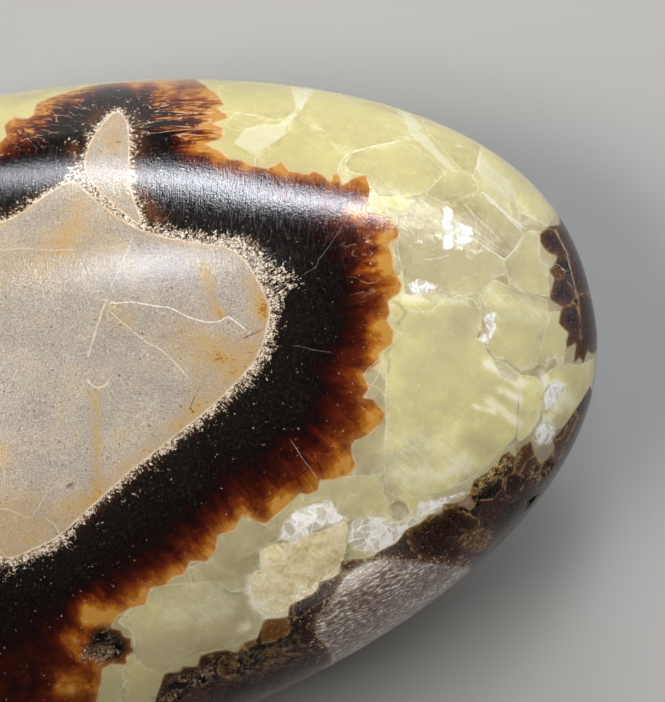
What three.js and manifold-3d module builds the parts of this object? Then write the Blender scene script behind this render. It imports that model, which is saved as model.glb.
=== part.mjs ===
// A septarian nodule, cut and polished into a hand-sized pebble: a concretion of grey limestone whose
// shrinkage cracks are lined with brown aragonite and filled with yellow calcite. It is one solid stone.
//
// The stone lies on its broad back. Its long axis is X, its width Y, and Z points up through the crown.
// The origin is the middle of its bounding box at the bottom, on the plane that the resting spot lies on.
import * as THREE from "three";
import { mergeVertices } from "three/addons/utils/BufferGeometryUtils.js";
import Module from "manifold-3d";

// Driving dimensions, in millimetres.
const LENGTH = 88; // end to end, along X
const WIDTH = 57; // side to side at mid length, along Y
const CROWN = 20.5; // from the girdle up to the crown
const BELLY = 20; // from the girdle down to the belly, before the resting spot is ground off
const REST_GRIND = 0.35; // ground off the belly to make the small flat resting spot

// Form of the pebble.
const TAPER = 0.157; // the +X end is narrower and the -X end wider than mid length by this share
const PLAN_FULLNESS = 2.31; // superellipse exponent of the outline seen from above; 2 is an ellipse
const SIDE_FULLNESS = 2.3; // superellipse exponent of the profile seen from the side
const POLISH_SWELL = 0.005; // hand polishing leaves the surface this share out of true

// Fineness of the faceted skin.
const SKIN_DETAIL = 16; // each face of the icosahedron is divided into (SKIN_DETAIL + 1) squared triangles
const VUG_DETAIL = 2;

// Vugs: the small open cavities that polishing exposes between the crystals of the brown rims.
// side is +1 on the crown and -1 on the belly. across is the mouth's size and deep its depth.
const VUGS = [
  { x: 36.6, y: -13.8, side: 1, across: 1.9, deep: 0.7 },
  { x: 34.6, y: -16.4, side: 1, across: 1.3, deep: 0.5 },
  { x: 3.9, y: -23.4, side: 1, across: 2.6, deep: 0.8 },
  { x: 0.9, y: -24.6, side: 1, across: 1.8, deep: 0.6 },
  { x: -3.4, y: -19.3, side: 1, across: 2.4, deep: 0.7 },
  { x: -27.5, y: 13.5, side: 1, across: 1.9, deep: 0.6 },
  { x: -21.0, y: -17.0, side: -1, across: 2.4, deep: 0.8 },
  { x: 18.0, y: 14.5, side: -1, across: 1.9, deep: 0.6 },
];

const wasm = await Module();
wasm.setup();

// The half width of the outline at a share of the half length, from -1 to 1.
function halfWidthAt(share) {
  return (WIDTH / 2) * (1 - TAPER * share);
}

// How far out of true the hand-polished skin is in the direction of the unit-form point s.
function swellAt(s) {
  const long = Math.sin(2.7 * s.x + 0.6) * Math.cos(2.2 * s.y - 0.4);
  const round = Math.sin(3.4 * s.y + 1.1 * s.x) * Math.cos(2.9 * s.z);
  return 1 + POLISH_SWELL * (0.6 * long + 0.4 * round);
}

// The point of the skin that lies in the direction of the unit vector d, with the girdle at height 0.
function skinPoint(d) {
  const plan = Math.abs(d.x) ** PLAN_FULLNESS + Math.abs(d.y) ** PLAN_FULLNESS;
  const size = plan ** (SIDE_FULLNESS / PLAN_FULLNESS) + Math.abs(d.z) ** SIDE_FULLNESS;
  const s = d.clone().divideScalar(size ** (1 / SIDE_FULLNESS));
  const swell = swellAt(s);
  const halfHeight = s.z > 0 ? CROWN : BELLY;
  return new THREE.Vector3(
    (LENGTH / 2) * s.x * swell,
    halfWidthAt(s.x) * s.y * swell,
    halfHeight * s.z * swell,
  );
}

// The unit direction whose skin point lies above, or with side -1 below, the plan place x, y.
function directionAt(x, y, side) {
  const u = x / (LENGTH / 2);
  const v = y / halfWidthAt(u);
  const plan = (Math.abs(u) ** PLAN_FULLNESS + Math.abs(v) ** PLAN_FULLNESS) ** (1 / PLAN_FULLNESS);
  const w = (1 - plan ** SIDE_FULLNESS) ** (1 / SIDE_FULLNESS);
  return new THREE.Vector3(u, v, side * w).normalize();
}

// A closed three.js geometry as a manifold-3d solid.
function solidFrom(geometry) {
  geometry.deleteAttribute("normal");
  geometry.deleteAttribute("uv");
  const merged = mergeVertices(geometry, 1e-4);
  return new wasm.Manifold(
    new wasm.Mesh({
      numProp: 3,
      vertProperties: new Float32Array(merged.attributes.position.array),
      triVerts: new Uint32Array(merged.index.array),
    }),
  );
}

function geometryFrom(solid) {
  const mesh = solid.getMesh();
  const geometry = new THREE.BufferGeometry();
  geometry.setAttribute("position", new THREE.BufferAttribute(mesh.vertProperties, 3));
  geometry.setIndex(new THREE.BufferAttribute(mesh.triVerts, 1));
  return geometry;
}

// The whole pebble before grinding: an icosphere whose every vertex is moved out to the skin.
function pebble() {
  const geometry = new THREE.IcosahedronGeometry(1, SKIN_DETAIL);
  const position = geometry.attributes.position;
  const direction = new THREE.Vector3();
  for (let i = 0; i < position.count; i++) {
    direction.fromBufferAttribute(position, i).normalize();
    const point = skinPoint(direction);
    position.setXYZ(i, point.x, point.y, point.z);
  }
  return solidFrom(geometry);
}

// The block that the grinding of the resting spot takes away.
function groundAway() {
  const block = new THREE.BoxGeometry(LENGTH, WIDTH, BELLY);
  block.translate(0, 0, -BELLY + REST_GRIND - BELLY / 2);
  return solidFrom(block);
}

// A vug's cutter: a low dome as wide as the mouth, laid along the skin and sunk to its depth.
function vugCutter({ x, y, side, across, deep }) {
  const direction = directionAt(x, y, side);
  const mouth = skinPoint(direction);
  const step = 0.01;
  const alongX = skinPoint(directionAt(x + step, y, side)).sub(mouth);
  const alongY = skinPoint(directionAt(x, y + step, side)).sub(mouth);
  const outward = alongX.clone().cross(alongY).normalize().multiplyScalar(side);
  const cutter = new THREE.IcosahedronGeometry(1, VUG_DETAIL);
  cutter.scale(across / 2, across / 2.6, deep);
  cutter.applyQuaternion(
    new THREE.Quaternion().setFromUnitVectors(new THREE.Vector3(0, 0, 1), outward),
  );
  cutter.translate(mouth.x, mouth.y, mouth.z);
  return solidFrom(cutter);
}

function nodule() {
  let stone = pebble().subtract(groundAway());
  for (const vug of VUGS) {
    stone = stone.subtract(vugCutter(vug));
  }
  const geometry = geometryFrom(stone);
  geometry.computeBoundingBox();
  const { min, max } = geometry.boundingBox;
  geometry.translate(-(min.x + max.x) / 2, -(min.y + max.y) / 2, -min.z);
  geometry.computeVertexNormals();
  const polishedStone = new THREE.MeshStandardMaterial({
    color: 0xa89468,
    roughness: 0.25,
    metalness: 0,
  });
  const mesh = new THREE.Mesh(geometry, polishedStone);
  mesh.name = "nodule";
  return mesh;
}

const stone = new THREE.Group();
stone.name = "septarian_nodule";
stone.add(nodule());

export default stone;
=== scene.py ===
# %% [markdown]
# # A polished septarian nodule
#
# A septarian nodule is a ball of muddy limestone that shrank and cracked while it was buried. Brown
# aragonite grew out from the walls of the cracks, and yellow calcite filled what was left. This one
# was ground into a hand-sized pebble and polished. It is one solid stone, so it is one mesh here, and
# its three minerals are one material that knows, at each point, which mineral the saw met there.
#
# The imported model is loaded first. It is the fixed frame: the stone keeps its size and its place.

# %% Load the frame
import math

import bpy
import numpy as np
from mathutils import Matrix, Vector


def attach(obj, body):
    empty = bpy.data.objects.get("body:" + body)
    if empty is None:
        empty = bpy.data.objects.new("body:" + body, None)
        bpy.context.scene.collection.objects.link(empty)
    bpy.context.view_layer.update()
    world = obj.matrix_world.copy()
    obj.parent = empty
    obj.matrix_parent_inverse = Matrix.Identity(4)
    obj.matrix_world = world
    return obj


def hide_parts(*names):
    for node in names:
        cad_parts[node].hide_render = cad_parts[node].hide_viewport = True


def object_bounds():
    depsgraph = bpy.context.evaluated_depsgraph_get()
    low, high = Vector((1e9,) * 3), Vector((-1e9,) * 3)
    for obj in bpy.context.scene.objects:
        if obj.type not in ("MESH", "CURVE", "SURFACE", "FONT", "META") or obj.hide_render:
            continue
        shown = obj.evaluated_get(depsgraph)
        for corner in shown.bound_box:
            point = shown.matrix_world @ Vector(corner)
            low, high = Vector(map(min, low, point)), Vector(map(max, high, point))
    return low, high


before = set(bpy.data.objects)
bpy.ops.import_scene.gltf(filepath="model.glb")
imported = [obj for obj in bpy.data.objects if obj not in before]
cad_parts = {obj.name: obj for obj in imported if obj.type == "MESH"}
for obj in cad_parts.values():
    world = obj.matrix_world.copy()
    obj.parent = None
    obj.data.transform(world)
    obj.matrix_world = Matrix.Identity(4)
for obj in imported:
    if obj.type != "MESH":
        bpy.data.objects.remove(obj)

MM = 0.001
CAD_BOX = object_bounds()
print("packed box, mm:", [[round(v / MM, 2) for v in corner] for corner in CAD_BOX])

# %% [markdown]
# ## Colour
#
# Colours are written as sRGB hex values, because that is how a maker reads them off a sample. Shaders
# work with linear light, so one function turns a hex value into linear numbers.


# %% Helper for colours
def linear(hex_colour):
    """An sRGB colour such as #D9C88A as linear red, green, blue and an opaque alpha."""
    channels = [int(hex_colour[i : i + 2], 16) / 255 for i in (1, 3, 5)]
    return [c / 12.92 if c <= 0.04045 else ((c + 0.055) / 1.055) ** 2.4 for c in channels] + [1.0]


# %% [markdown]
# ## The pebble's form
#
# A pebble that was ground and polished by hand is close to an egg pressed flat. The superellipse gives
# that with three numbers: an exponent for the outline, one for the profile and a taper from the blunt
# end to the narrow end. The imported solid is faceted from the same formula, so the fine skin made here
# lies on it everywhere. A slight swell keeps it from looking turned on a lathe.

# %% Measures of the pebble, in millimetres
LENGTH = 88
WIDTH = 57
CROWN = 20.5
BELLY = 20
REST_GRIND = 0.35
TAPER = 0.157
PLAN_FULLNESS = 2.31
SIDE_FULLNESS = 2.3
POLISH_SWELL = 0.005


def unit_form(directions):
    """Unit directions moved onto the superellipsoid whose half sizes are all 1."""
    x, y, z = np.abs(directions).T
    plan = x**PLAN_FULLNESS + y**PLAN_FULLNESS
    size = plan ** (SIDE_FULLNESS / PLAN_FULLNESS) + z**SIDE_FULLNESS
    return directions / size[:, None] ** (1 / SIDE_FULLNESS)


def skin_points(directions):
    """The stone's skin in those directions, in millimetres, with the girdle at height 0."""
    s = unit_form(directions)
    x, y, z = s.T
    along = np.sin(2.7 * x + 0.6) * np.cos(2.2 * y - 0.4)
    around = np.sin(3.4 * y + 1.1 * x) * np.cos(2.9 * z)
    swell = 1 + POLISH_SWELL * (0.6 * along + 0.4 * around)
    half_width = WIDTH / 2 * (1 - TAPER * x)
    half_height = np.where(z > 0, CROWN, BELLY)
    return np.column_stack([LENGTH / 2 * x, half_width * y, half_height * z]) * swell[:, None]


# %% [markdown]
# ## An even net of quads
#
# An icosphere or a UV sphere would do, but a cube blown up to a sphere has square quads and no poles,
# which suits smooth shading. The net is drawn a little closer together on the crown, where the
# patterns are finest: adding a constant to every direction before making it unit length again does
# that without a seam.

# %% Make the net
NET = 127  # quads along each side of each of the six faces
CLOSER_TOWARDS = np.array([0.42, 0.02, 0.9])
CLOSER_BY = 0.4

steps = np.tan(np.linspace(-np.pi / 4, np.pi / 4, NET + 1))
across, up = np.meshgrid(steps, steps, indexing="ij")
corners = np.arange((NET + 1) ** 2).reshape(NET + 1, NET + 1)
one_face = np.stack([corners[:-1, :-1], corners[1:, :-1], corners[1:, 1:], corners[:-1, 1:]], -1)
one_face = one_face.reshape(-1, 4)
points, quads = [], []
for turn in range(3):
    for side in (1, -1):
        face = np.column_stack([across.ravel() * side, up.ravel(), np.full(across.size, side)])
        quads.append(one_face + len(points) * across.size)
        points.append(np.roll(face, turn, axis=1))
points = np.concatenate(points)
points /= np.linalg.norm(points, axis=1)[:, None]
_, first, shared = np.unique(np.round(points, 5), axis=0, return_index=True, return_inverse=True)
directions = points[first] + CLOSER_BY * CLOSER_TOWARDS
directions /= np.linalg.norm(directions, axis=1)[:, None]
quads = shared.reshape(-1)[np.concatenate(quads)]
print("net:", len(directions), "points,", len(quads), "quads")

# %% [markdown]
# ## The resting spot and the vugs
#
# The belly is ground flat over a small spot, so that the stone doesn't rock. Here and there polishing
# broke into a vug, a small open cavity between crystals. Both are real shapes, so they are made in
# the mesh: the flat by stopping the points at its height, a vug by pushing them in along a dome.

# %% Shape the skin
VUGS = [  # x and y in plan, side (+1 crown, -1 belly), size of the mouth and depth, in millimetres
    (36.6, -13.8, 1, 1.9, 0.7),
    (34.6, -16.4, 1, 1.3, 0.5),
    (3.9, -23.4, 1, 2.6, 0.8),
    (0.9, -24.6, 1, 1.8, 0.6),
    (-3.4, -19.3, 1, 2.4, 0.7),
    (-27.5, 13.5, 1, 1.9, 0.6),
    (-21.0, -17.0, -1, 2.4, 0.8),
    (18.0, 14.5, -1, 1.9, 0.6),
]
VUG_NARROWS = 2.6 / 2  # a vug is this much longer along the stone than across it


def direction_at(x, y, side):
    """The direction whose skin point lies above, or with side -1 below, a place in plan."""
    u = x / (LENGTH / 2)
    v = y / (WIDTH / 2 * (1 - TAPER * u))
    plan = (abs(u) ** PLAN_FULLNESS + abs(v) ** PLAN_FULLNESS) ** (1 / PLAN_FULLNESS)
    w = (1 - plan**SIDE_FULLNESS) ** (1 / SIDE_FULLNESS)
    direction = np.array([u, v, side * w])
    return direction / np.linalg.norm(direction)


def skin_at(x, y, side):
    """The skin's point at a place in plan, and the unit vector that points out of the stone there."""
    step = 0.05
    corner, along_x, along_y = skin_points(
        np.array([direction_at(x + a, y + b, side) for a, b in ((0, 0), (step, 0), (0, step))])
    )
    outward = np.cross(along_x - corner, along_y - corner) * side
    return corner, outward / np.linalg.norm(outward)


skin = skin_points(directions)
FAR_OUT = -9.0  # stored, in millimetres, where a drawn thing is nowhere near
vug_in = np.full(len(skin), FAR_OUT)
for x, y, side, mouth, deep in VUGS:
    centre, outward = skin_at(x, y, side)
    tangent = np.cross([0, 1, 0], outward)
    tangent /= np.linalg.norm(tangent)
    offset = skin - centre
    right, ahead = offset @ tangent, offset @ np.cross(outward, tangent) * VUG_NARROWS
    round_it = np.arctan2(ahead, right)
    uneven_mouth = 1 + 0.1 * np.sin(3 * round_it + x) + 0.07 * np.sin(5 * round_it + y)
    reach = np.hypot(right, ahead) / (mouth / 2) * uneven_mouth
    near = np.abs(offset @ outward) < mouth
    dome = deep * np.clip(1 - reach**2, 0, 1) ** 0.75 * near
    skin -= dome[:, None] * outward
    vug_in = np.where(near, np.maximum(vug_in, (1 - reach) * mouth / 2), vug_in)
skin[:, 2] = np.maximum(skin[:, 2], REST_GRIND - BELLY)
to_frame = (np.array(CAD_BOX[0]) + np.array(CAD_BOX[1])) / 2 / MM - (skin.min(0) + skin.max(0)) / 2
print("skin box, mm:", np.round(skin.max(0) - skin.min(0), 2), "moved by", np.round(to_frame, 2))

# %% [markdown]
# The points and quads become one mesh with smooth shading, since the polish left no edge. It takes the
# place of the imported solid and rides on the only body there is.

# %% Make the mesh object
mesh = bpy.data.meshes.new("septarian_skin")
mesh.from_pydata((skin + to_frame) * MM, [], quads.tolist())
mesh.shade_smooth()
mesh.update()
stone = bpy.data.objects.new("septarian_skin", mesh)
bpy.context.scene.collection.objects.link(stone)
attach(stone, "root")
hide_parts("nodule")
print("triangles:", 2 * len(quads))

# %% [markdown]
# ## Drawing the cut minerals
#
# The grinding wheel cut through blocks of limestone, the aragonite that grew on them and the calcite
# between, so what shows is a map with sharp borders. A painted picture could hold it, but it would
# blur up close. Instead each border is drawn as a short outline in millimetres, and every point of
# the skin stores how far inside or outside of that border it lies. The number changes evenly over the
# skin, so the shader can find the border between the points, as sharp as the render needs.
#
# The outlines lie in the plan of the sketch, which is turned a little against the stone's long axis.


# %% Outlines and how far inside them a point lies
SKETCH_TURN = math.radians(14.1)
COS_TURN, SIN_TURN = math.cos(SKETCH_TURN), math.sin(SKETCH_TURN)


def to_sketch(points):
    """Plan places of the stone, turned into the plan of the sketch."""
    x, y = points[:, 0], points[:, 1]
    return np.column_stack([x * COS_TURN - y * SIN_TURN, x * SIN_TURN + y * COS_TURN])


def rounded(outline, times=2):
    """The closed outline with its corners cut off, again and again, until it looks drawn by hand."""
    line = np.array(outline, float)
    for _ in range(times):
        following = np.roll(line, -1, axis=0)
        cut_corners = [0.75 * line + 0.25 * following, 0.25 * line + 0.75 * following]
        line = np.stack(cut_corners, 1).reshape(-1, 2)
    return line


def depth_inside(places, outline):
    """How deep each place lies inside the outline, negative outside, and the border's nearest point."""
    best = np.full(len(places), np.inf)
    foot = np.zeros_like(places)
    inside = np.zeros(len(places), bool)
    for a, b in zip(outline, np.roll(outline, -1, axis=0)):
        edge = b - a
        share = np.clip((places - a) @ edge / (edge @ edge + 1e-12), 0, 1)
        candidate = a + share[:, None] * edge
        distance = np.sum((places - candidate) ** 2, axis=1)
        closer = distance < best
        best[closer] = distance[closer]
        foot[closer] = candidate[closer]
        spans = (a[1] > places[:, 1]) != (b[1] > places[:, 1])
        if edge[1]:
            inside ^= spans & (places[:, 0] < a[0] + (places[:, 1] - a[1]) * edge[0] / edge[1])
    return np.where(inside, 1, -1) * np.sqrt(best), foot


# %% [markdown]
# ## Limestone blocks and aragonite rims
#
# The blocks go down into the stone, so their walls are followed below the crown too: straight down to
# the girdle, and then drawing in, while the blocks of the belly draw in towards the crown. A slow
# wobble bends the walls on the way. The rim of each crown block has an outline of its own with one
# point for each crystal tip, because no two of those teeth are alike. The belly's rims keep an even
# width, and the shader gives them their teeth.

# %% The blocks and rims
CROWN_BLOCKS = {
    "main": [
        (-24, 0), (-22.5, 6), (-18, 11.5), (-12.5, 14.4), (-8, 15.6), (-5.5, 16.4), (-4, 17.6), (-2.5, 18.7),
        (-0.9, 19.6), (0.3, 18.4), (2, 16.9), (4, 15.6), (6.5, 14.7), (10, 14.1), (12, 13.9), (13.4, 12.8),
        (14.6, 10.8), (15.4, 9), (15.2, 7.4), (14.5, 5.1), (13, 3.2), (10, 0.3), (8, -1.2), (6, -2.8),
        (4, -4.3), (2.1, -6.1), (0.3, -7.7), (-2, -9.9), (-4, -10.8), (-6.2, -11.8), (-7, -10.6), (-9, -9.5),
        (-13, -8.8), (-18, -7.4), (-22, -4.5),
    ],
    "sliver": [
        (2.5, 25.6), (3.2, 24.9), (3.45, 24), (3.6, 22.5), (3.55, 20.5), (3.75, 19), (4.2, 17.6), (4.9, 15.7),
        (3.7, 16.6), (2.6, 17.6), (1.5, 18.6), (0.6, 19.6), (0.05, 20.5), (0.15, 21.6), (0.4, 22.6),
        (0.9, 23.6), (1.8, 24.9),
    ],
    "front": [
        (22, -12.9), (20.9, -14.6), (20.5, -15.7), (19.3, -16.8), (19.2, -18), (19.7, -19), (20.6, -20),
        (20, -24), (22, -30), (34, -28), (40, -18), (36, -14), (30, -12.7), (26.5, -12.2), (24, -12),
    ],
    "far left": [(-40, -24), (-34, -22), (-30.5, -20), (-31, -24), (-34, -30), (-44, -30)],
}
CROWN_RIMS = {
    "main": [
        (-7.5, 22.6), (-6.8, 23.4), (-7.0, 24.4), (-6.2, 25.2), (-5.2, 24.9), (-4.6, 25.3), (-4.5, 26.2),
        (-3.6, 26.8), (-2, 27.3), (-0.3, 27.9), (1.2, 28.3), (5, 28.5), (9, 28.4), (10.2, 27.7), (11, 27),
        (11.5, 26.1), (10.9, 25.8), (11.8, 25.2), (11.9, 24.9), (10.6, 24.4), (11.6, 24.1), (11.3, 23.7),
        (11.6, 23.7), (11.4, 23.1), (10, 22.6), (11.2, 22.1), (12, 21.4), (13, 21.3), (13.7, 20.9),
        (15.2, 20.6), (16.4, 21.2), (17, 20.4), (18.6, 20.1), (19, 20.5), (20, 19.9), (20.5, 19.4),
        (20.5, 20.2),
        (21.2, 20.1), (21.4, 19.2), (22.6, 20), (23.4, 20.1), (23.8, 18.9), (23.6, 17.8), (23.2, 17),
        (24.5, 16.7), (25.3, 16.5), (26.1, 15.6), (26.2, 14.9), (25.3, 14.2), (25.6, 13.4), (25.7, 12.2),
        (26.4, 10.9), (26.2, 10.2), (25.2, 9.5), (25.4, 8.5), (25.1, 8), (25.7, 7), (25.6, 6), (24.4, 5.1),
        (24.6, 4.5), (23.2, 3.4), (23.7, 2.3), (23.2, 1.6), (23.9, 1.5), (25, 0.3), (24.9, -0.4),
        (23.4, -1.7), (22.3, -2.1), (22.2, -2.9), (22.6, -4.1), (22, -4.9), (20.6, -5.3), (19.6, -5.3),
        (19.4, -6.2),
        (18.6, -6.5), (17.9, -6.4), (16.8, -7.5), (15.8, -8.3), (15, -9), (13.8, -8.4), (13.2, -8.1),
        (12.6, -9.4), (11.2, -9.8), (11, -11.2), (10.2, -12), (8.9, -12), (8.4, -13.1), (7.4, -13.3),
        (6.8, -14), (5.6, -14.2), (5.2, -15.6), (3.9, -15.9), (2.8, -16.6), (2.3, -17.5), (3.1, -17.6),
        (3.3, -18.2), (4.1, -18.4), (3.9, -19), (4.3, -19.5), (3.5, -20), (3.6, -20.8), (2.2, -20.6),
        (1.5, -21.1), (1.4, -22), (0.8, -24.5), (-1, -32), (-14, -32),
        (-13, -26), (-14.5, -21.5), (-17, -18), (-20, -15.5), (-24, -12.6), (-28, -9), (-31, -4.4), (-32, 1),
        (-31.4, 6), (-29.6, 11), (-26.5, 15), (-22, 18.2), (-18, 20.3), (-14, 21.6), (-10, 22),
    ],
    "front": [
        (5.5, -24.5), (6.4, -22), (6.6, -21.4), (7.7, -21.4), (8.2, -20.8), (9.3, -21), (9.5, -20),
        (10.8, -19.6), (12, -19.5), (12.6, -19.9), (13.2, -18.9), (14.3, -18.6), (14.9, -16.9), (16.9, -16.8),
        (17, -15.8), (19.2, -14.7), (19.6, -13.8), (20.4, -13.6), (21.2, -13.1), (21.3, -12.1), (22.2, -11.9),
        (23.5, -11.9), (24.6, -11.2), (25.9, -10.6), (26.8, -9.4), (28, -8.9), (28.7, -8.2), (29.7, -8.2),
        (29.8, -7.3), (30.8, -7.3), (31.5, -7), (32.1, -6.3), (32.4, -5.4), (33.6, -4.7), (33.9, -4.3),
        (34.3, -4.2), (34.8, -3.3), (35.4, -3), (35.9, -3.5), (36.5, -2.6), (37.3, -2.1), (37.7, -3.4),
        (38.3, -4.1), (38.9, -3.8), (39.5, -2.9), (39.2, -2.2), (40, -1.4), (41.2, 0), (43, 2), (48, -4),
        (44, -14), (38, -24), (28, -32), (8, -34), (4, -29),
    ],
    "right": [
        (39.4, 17.6), (39.4, 16.5), (39.5, 15.8), (38.8, 15.8), (38.1, 15.3), (38.1, 14.6), (38.4, 14.1),
        (38.9, 13.6), (39.5, 13.3), (39.4, 12.9), (38.8, 12.2), (39.3, 11.5), (38.9, 10.2), (38.9, 9.7),
        (39.9, 9.1), (39.6, 7.7), (40.5, 6.9), (40.3, 6.1), (40.3, 5.5), (41.1, 6), (40.9, 4.2), (41.5, 4.7),
        (41.9, 4.1), (42.3, 5.1), (42.7, 4.8), (43.5, 4.6), (48, 8), (46, 16), (42, 22),
    ],
    "far left": [
        (-38, -15), (-33, -17), (-27, -17.5), (-23, -19), (-21, -22), (-22, -30), (-50, -32), (-50, -14),
    ],
}
BELLY_BLOCKS = {
    "left": [(-33, 3), (-28, 11), (-19, 14), (-10, 11), (-7, 3), (-12, -7), (-21, -11), (-30, -6)],
    "right": [(12, 8), (17, 15), (26, 15), (32, 8), (30, 0), (21, -3), (14, 2)],
    "thin": [(-5, -18), (4, -14.5), (14, -17), (16, -21), (6, -24), (-4, -22)],
}
print("blocks:", len(CROWN_BLOCKS) + len(BELLY_BLOCKS), "rims drawn:", len(CROWN_RIMS))

# %% [markdown]
# Each point keeps the block that it lies deepest in, or nearest to, with the nearest place on that
# block's wall and the direction away from it, which the aragonite's needles will follow. The blocks and
# rims with more clay are marked too.

# %% Measure the skin against the blocks and rims
EARTHY_BLOCKS = ("front", "thin")
DULL_RIMS = ("front", "right", "thin")
VIOLET_RIMS = ("right",)
DULL_SPOTS = [((2.0, -18.9), 1.7)]  # place, reach
BELLY_RIM = 6.5  # even width of the belly's rims, in millimetres
CROWN_TAKES_IN = 0.9  # how fast the crown's blocks draw in below the girdle
BELLY_TAKES_IN = 0.85
CROWN_KEEPS_TO = -1.0  # height down to which the crown's walls stay upright
BELLY_KEEPS_TO = -9.0
WOBBLE = 1.6  # how far the walls bend aside on the way down
UNDRAWN = -99.0  # depth before anything is drawn

sketch = to_sketch(skin)
height = skin[:, 2]
on_crown = height > 0
deeper = np.clip((9 - height) / 16, 0, 1)[:, None]
bent = sketch + deeper * np.column_stack([
    WOBBLE * np.sin(0.33 * height + 0.21 * sketch[:, 1]),
    WOBBLE * np.cos(0.29 * height + 0.19 * sketch[:, 0]),
])
below = CROWN_TAKES_IN * np.maximum(0, CROWN_KEEPS_TO - height)
above = BELLY_TAKES_IN * np.maximum(0, height - BELLY_KEEPS_TO)

block_in = np.full(len(skin), UNDRAWN)
wall = np.zeros((len(skin), 2))
earthy_here = np.zeros(len(skin))
for outlines, drawn_in in ((CROWN_BLOCKS, below), (BELLY_BLOCKS, above)):
    for name, outline in outlines.items():
        depth, foot = depth_inside(bent, rounded(outline))
        depth = depth - drawn_in
        nearer = depth > block_in
        block_in[nearer] = depth[nearer]
        wall[nearer] = foot[nearer]
        earthy_here[nearer] = name in EARTHY_BLOCKS
rim_in = np.full(len(skin), UNDRAWN)
dull_here = np.zeros(len(skin))
violet_here = np.zeros(len(skin))
rims = [(name, np.array(line, float), below) for name, line in CROWN_RIMS.items()]
rims += [(name, rounded(line), above - BELLY_RIM) for name, line in BELLY_BLOCKS.items()]
for name, outline, drawn_in in rims:
    depth, _ = depth_inside(bent, outline)
    depth = depth - drawn_in
    nearer = depth > rim_in
    rim_in[nearer] = depth[nearer]
    dull_here[nearer] = name in DULL_RIMS
    violet_here[nearer] = name in VIOLET_RIMS
for spot, reach in DULL_SPOTS:
    off = np.linalg.norm(sketch - np.array(spot), axis=1)
    dull_here = np.maximum(dull_here, np.clip(2 * (1.2 - off / reach), 0, 1) * on_crown)
outwards = (bent - wall) * np.where(block_in > 0, -1, 1)[:, None]
outwards /= np.maximum(np.linalg.norm(outwards, axis=1), 1e-6)[:, None]
print("limestone:", round(float((block_in > 0).mean()), 2), "rims:", round(float((rim_in > 0).mean()), 2))

# %% [markdown]
# ## Calcite crystals
#
# The calcite is a mosaic of large clear crystals. Each one shows as a flat patch of slightly different
# colour behind a pale line, since light goes a different way through each. The crystals of the crown
# are drawn one by one on three sheets that lie on each other, the way a collage is made: crystals on
# one sheet never touch, so their borders stay apart, and a crystal on a higher sheet covers those
# below. The shader fills the rest with a cell pattern of the same size.

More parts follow.
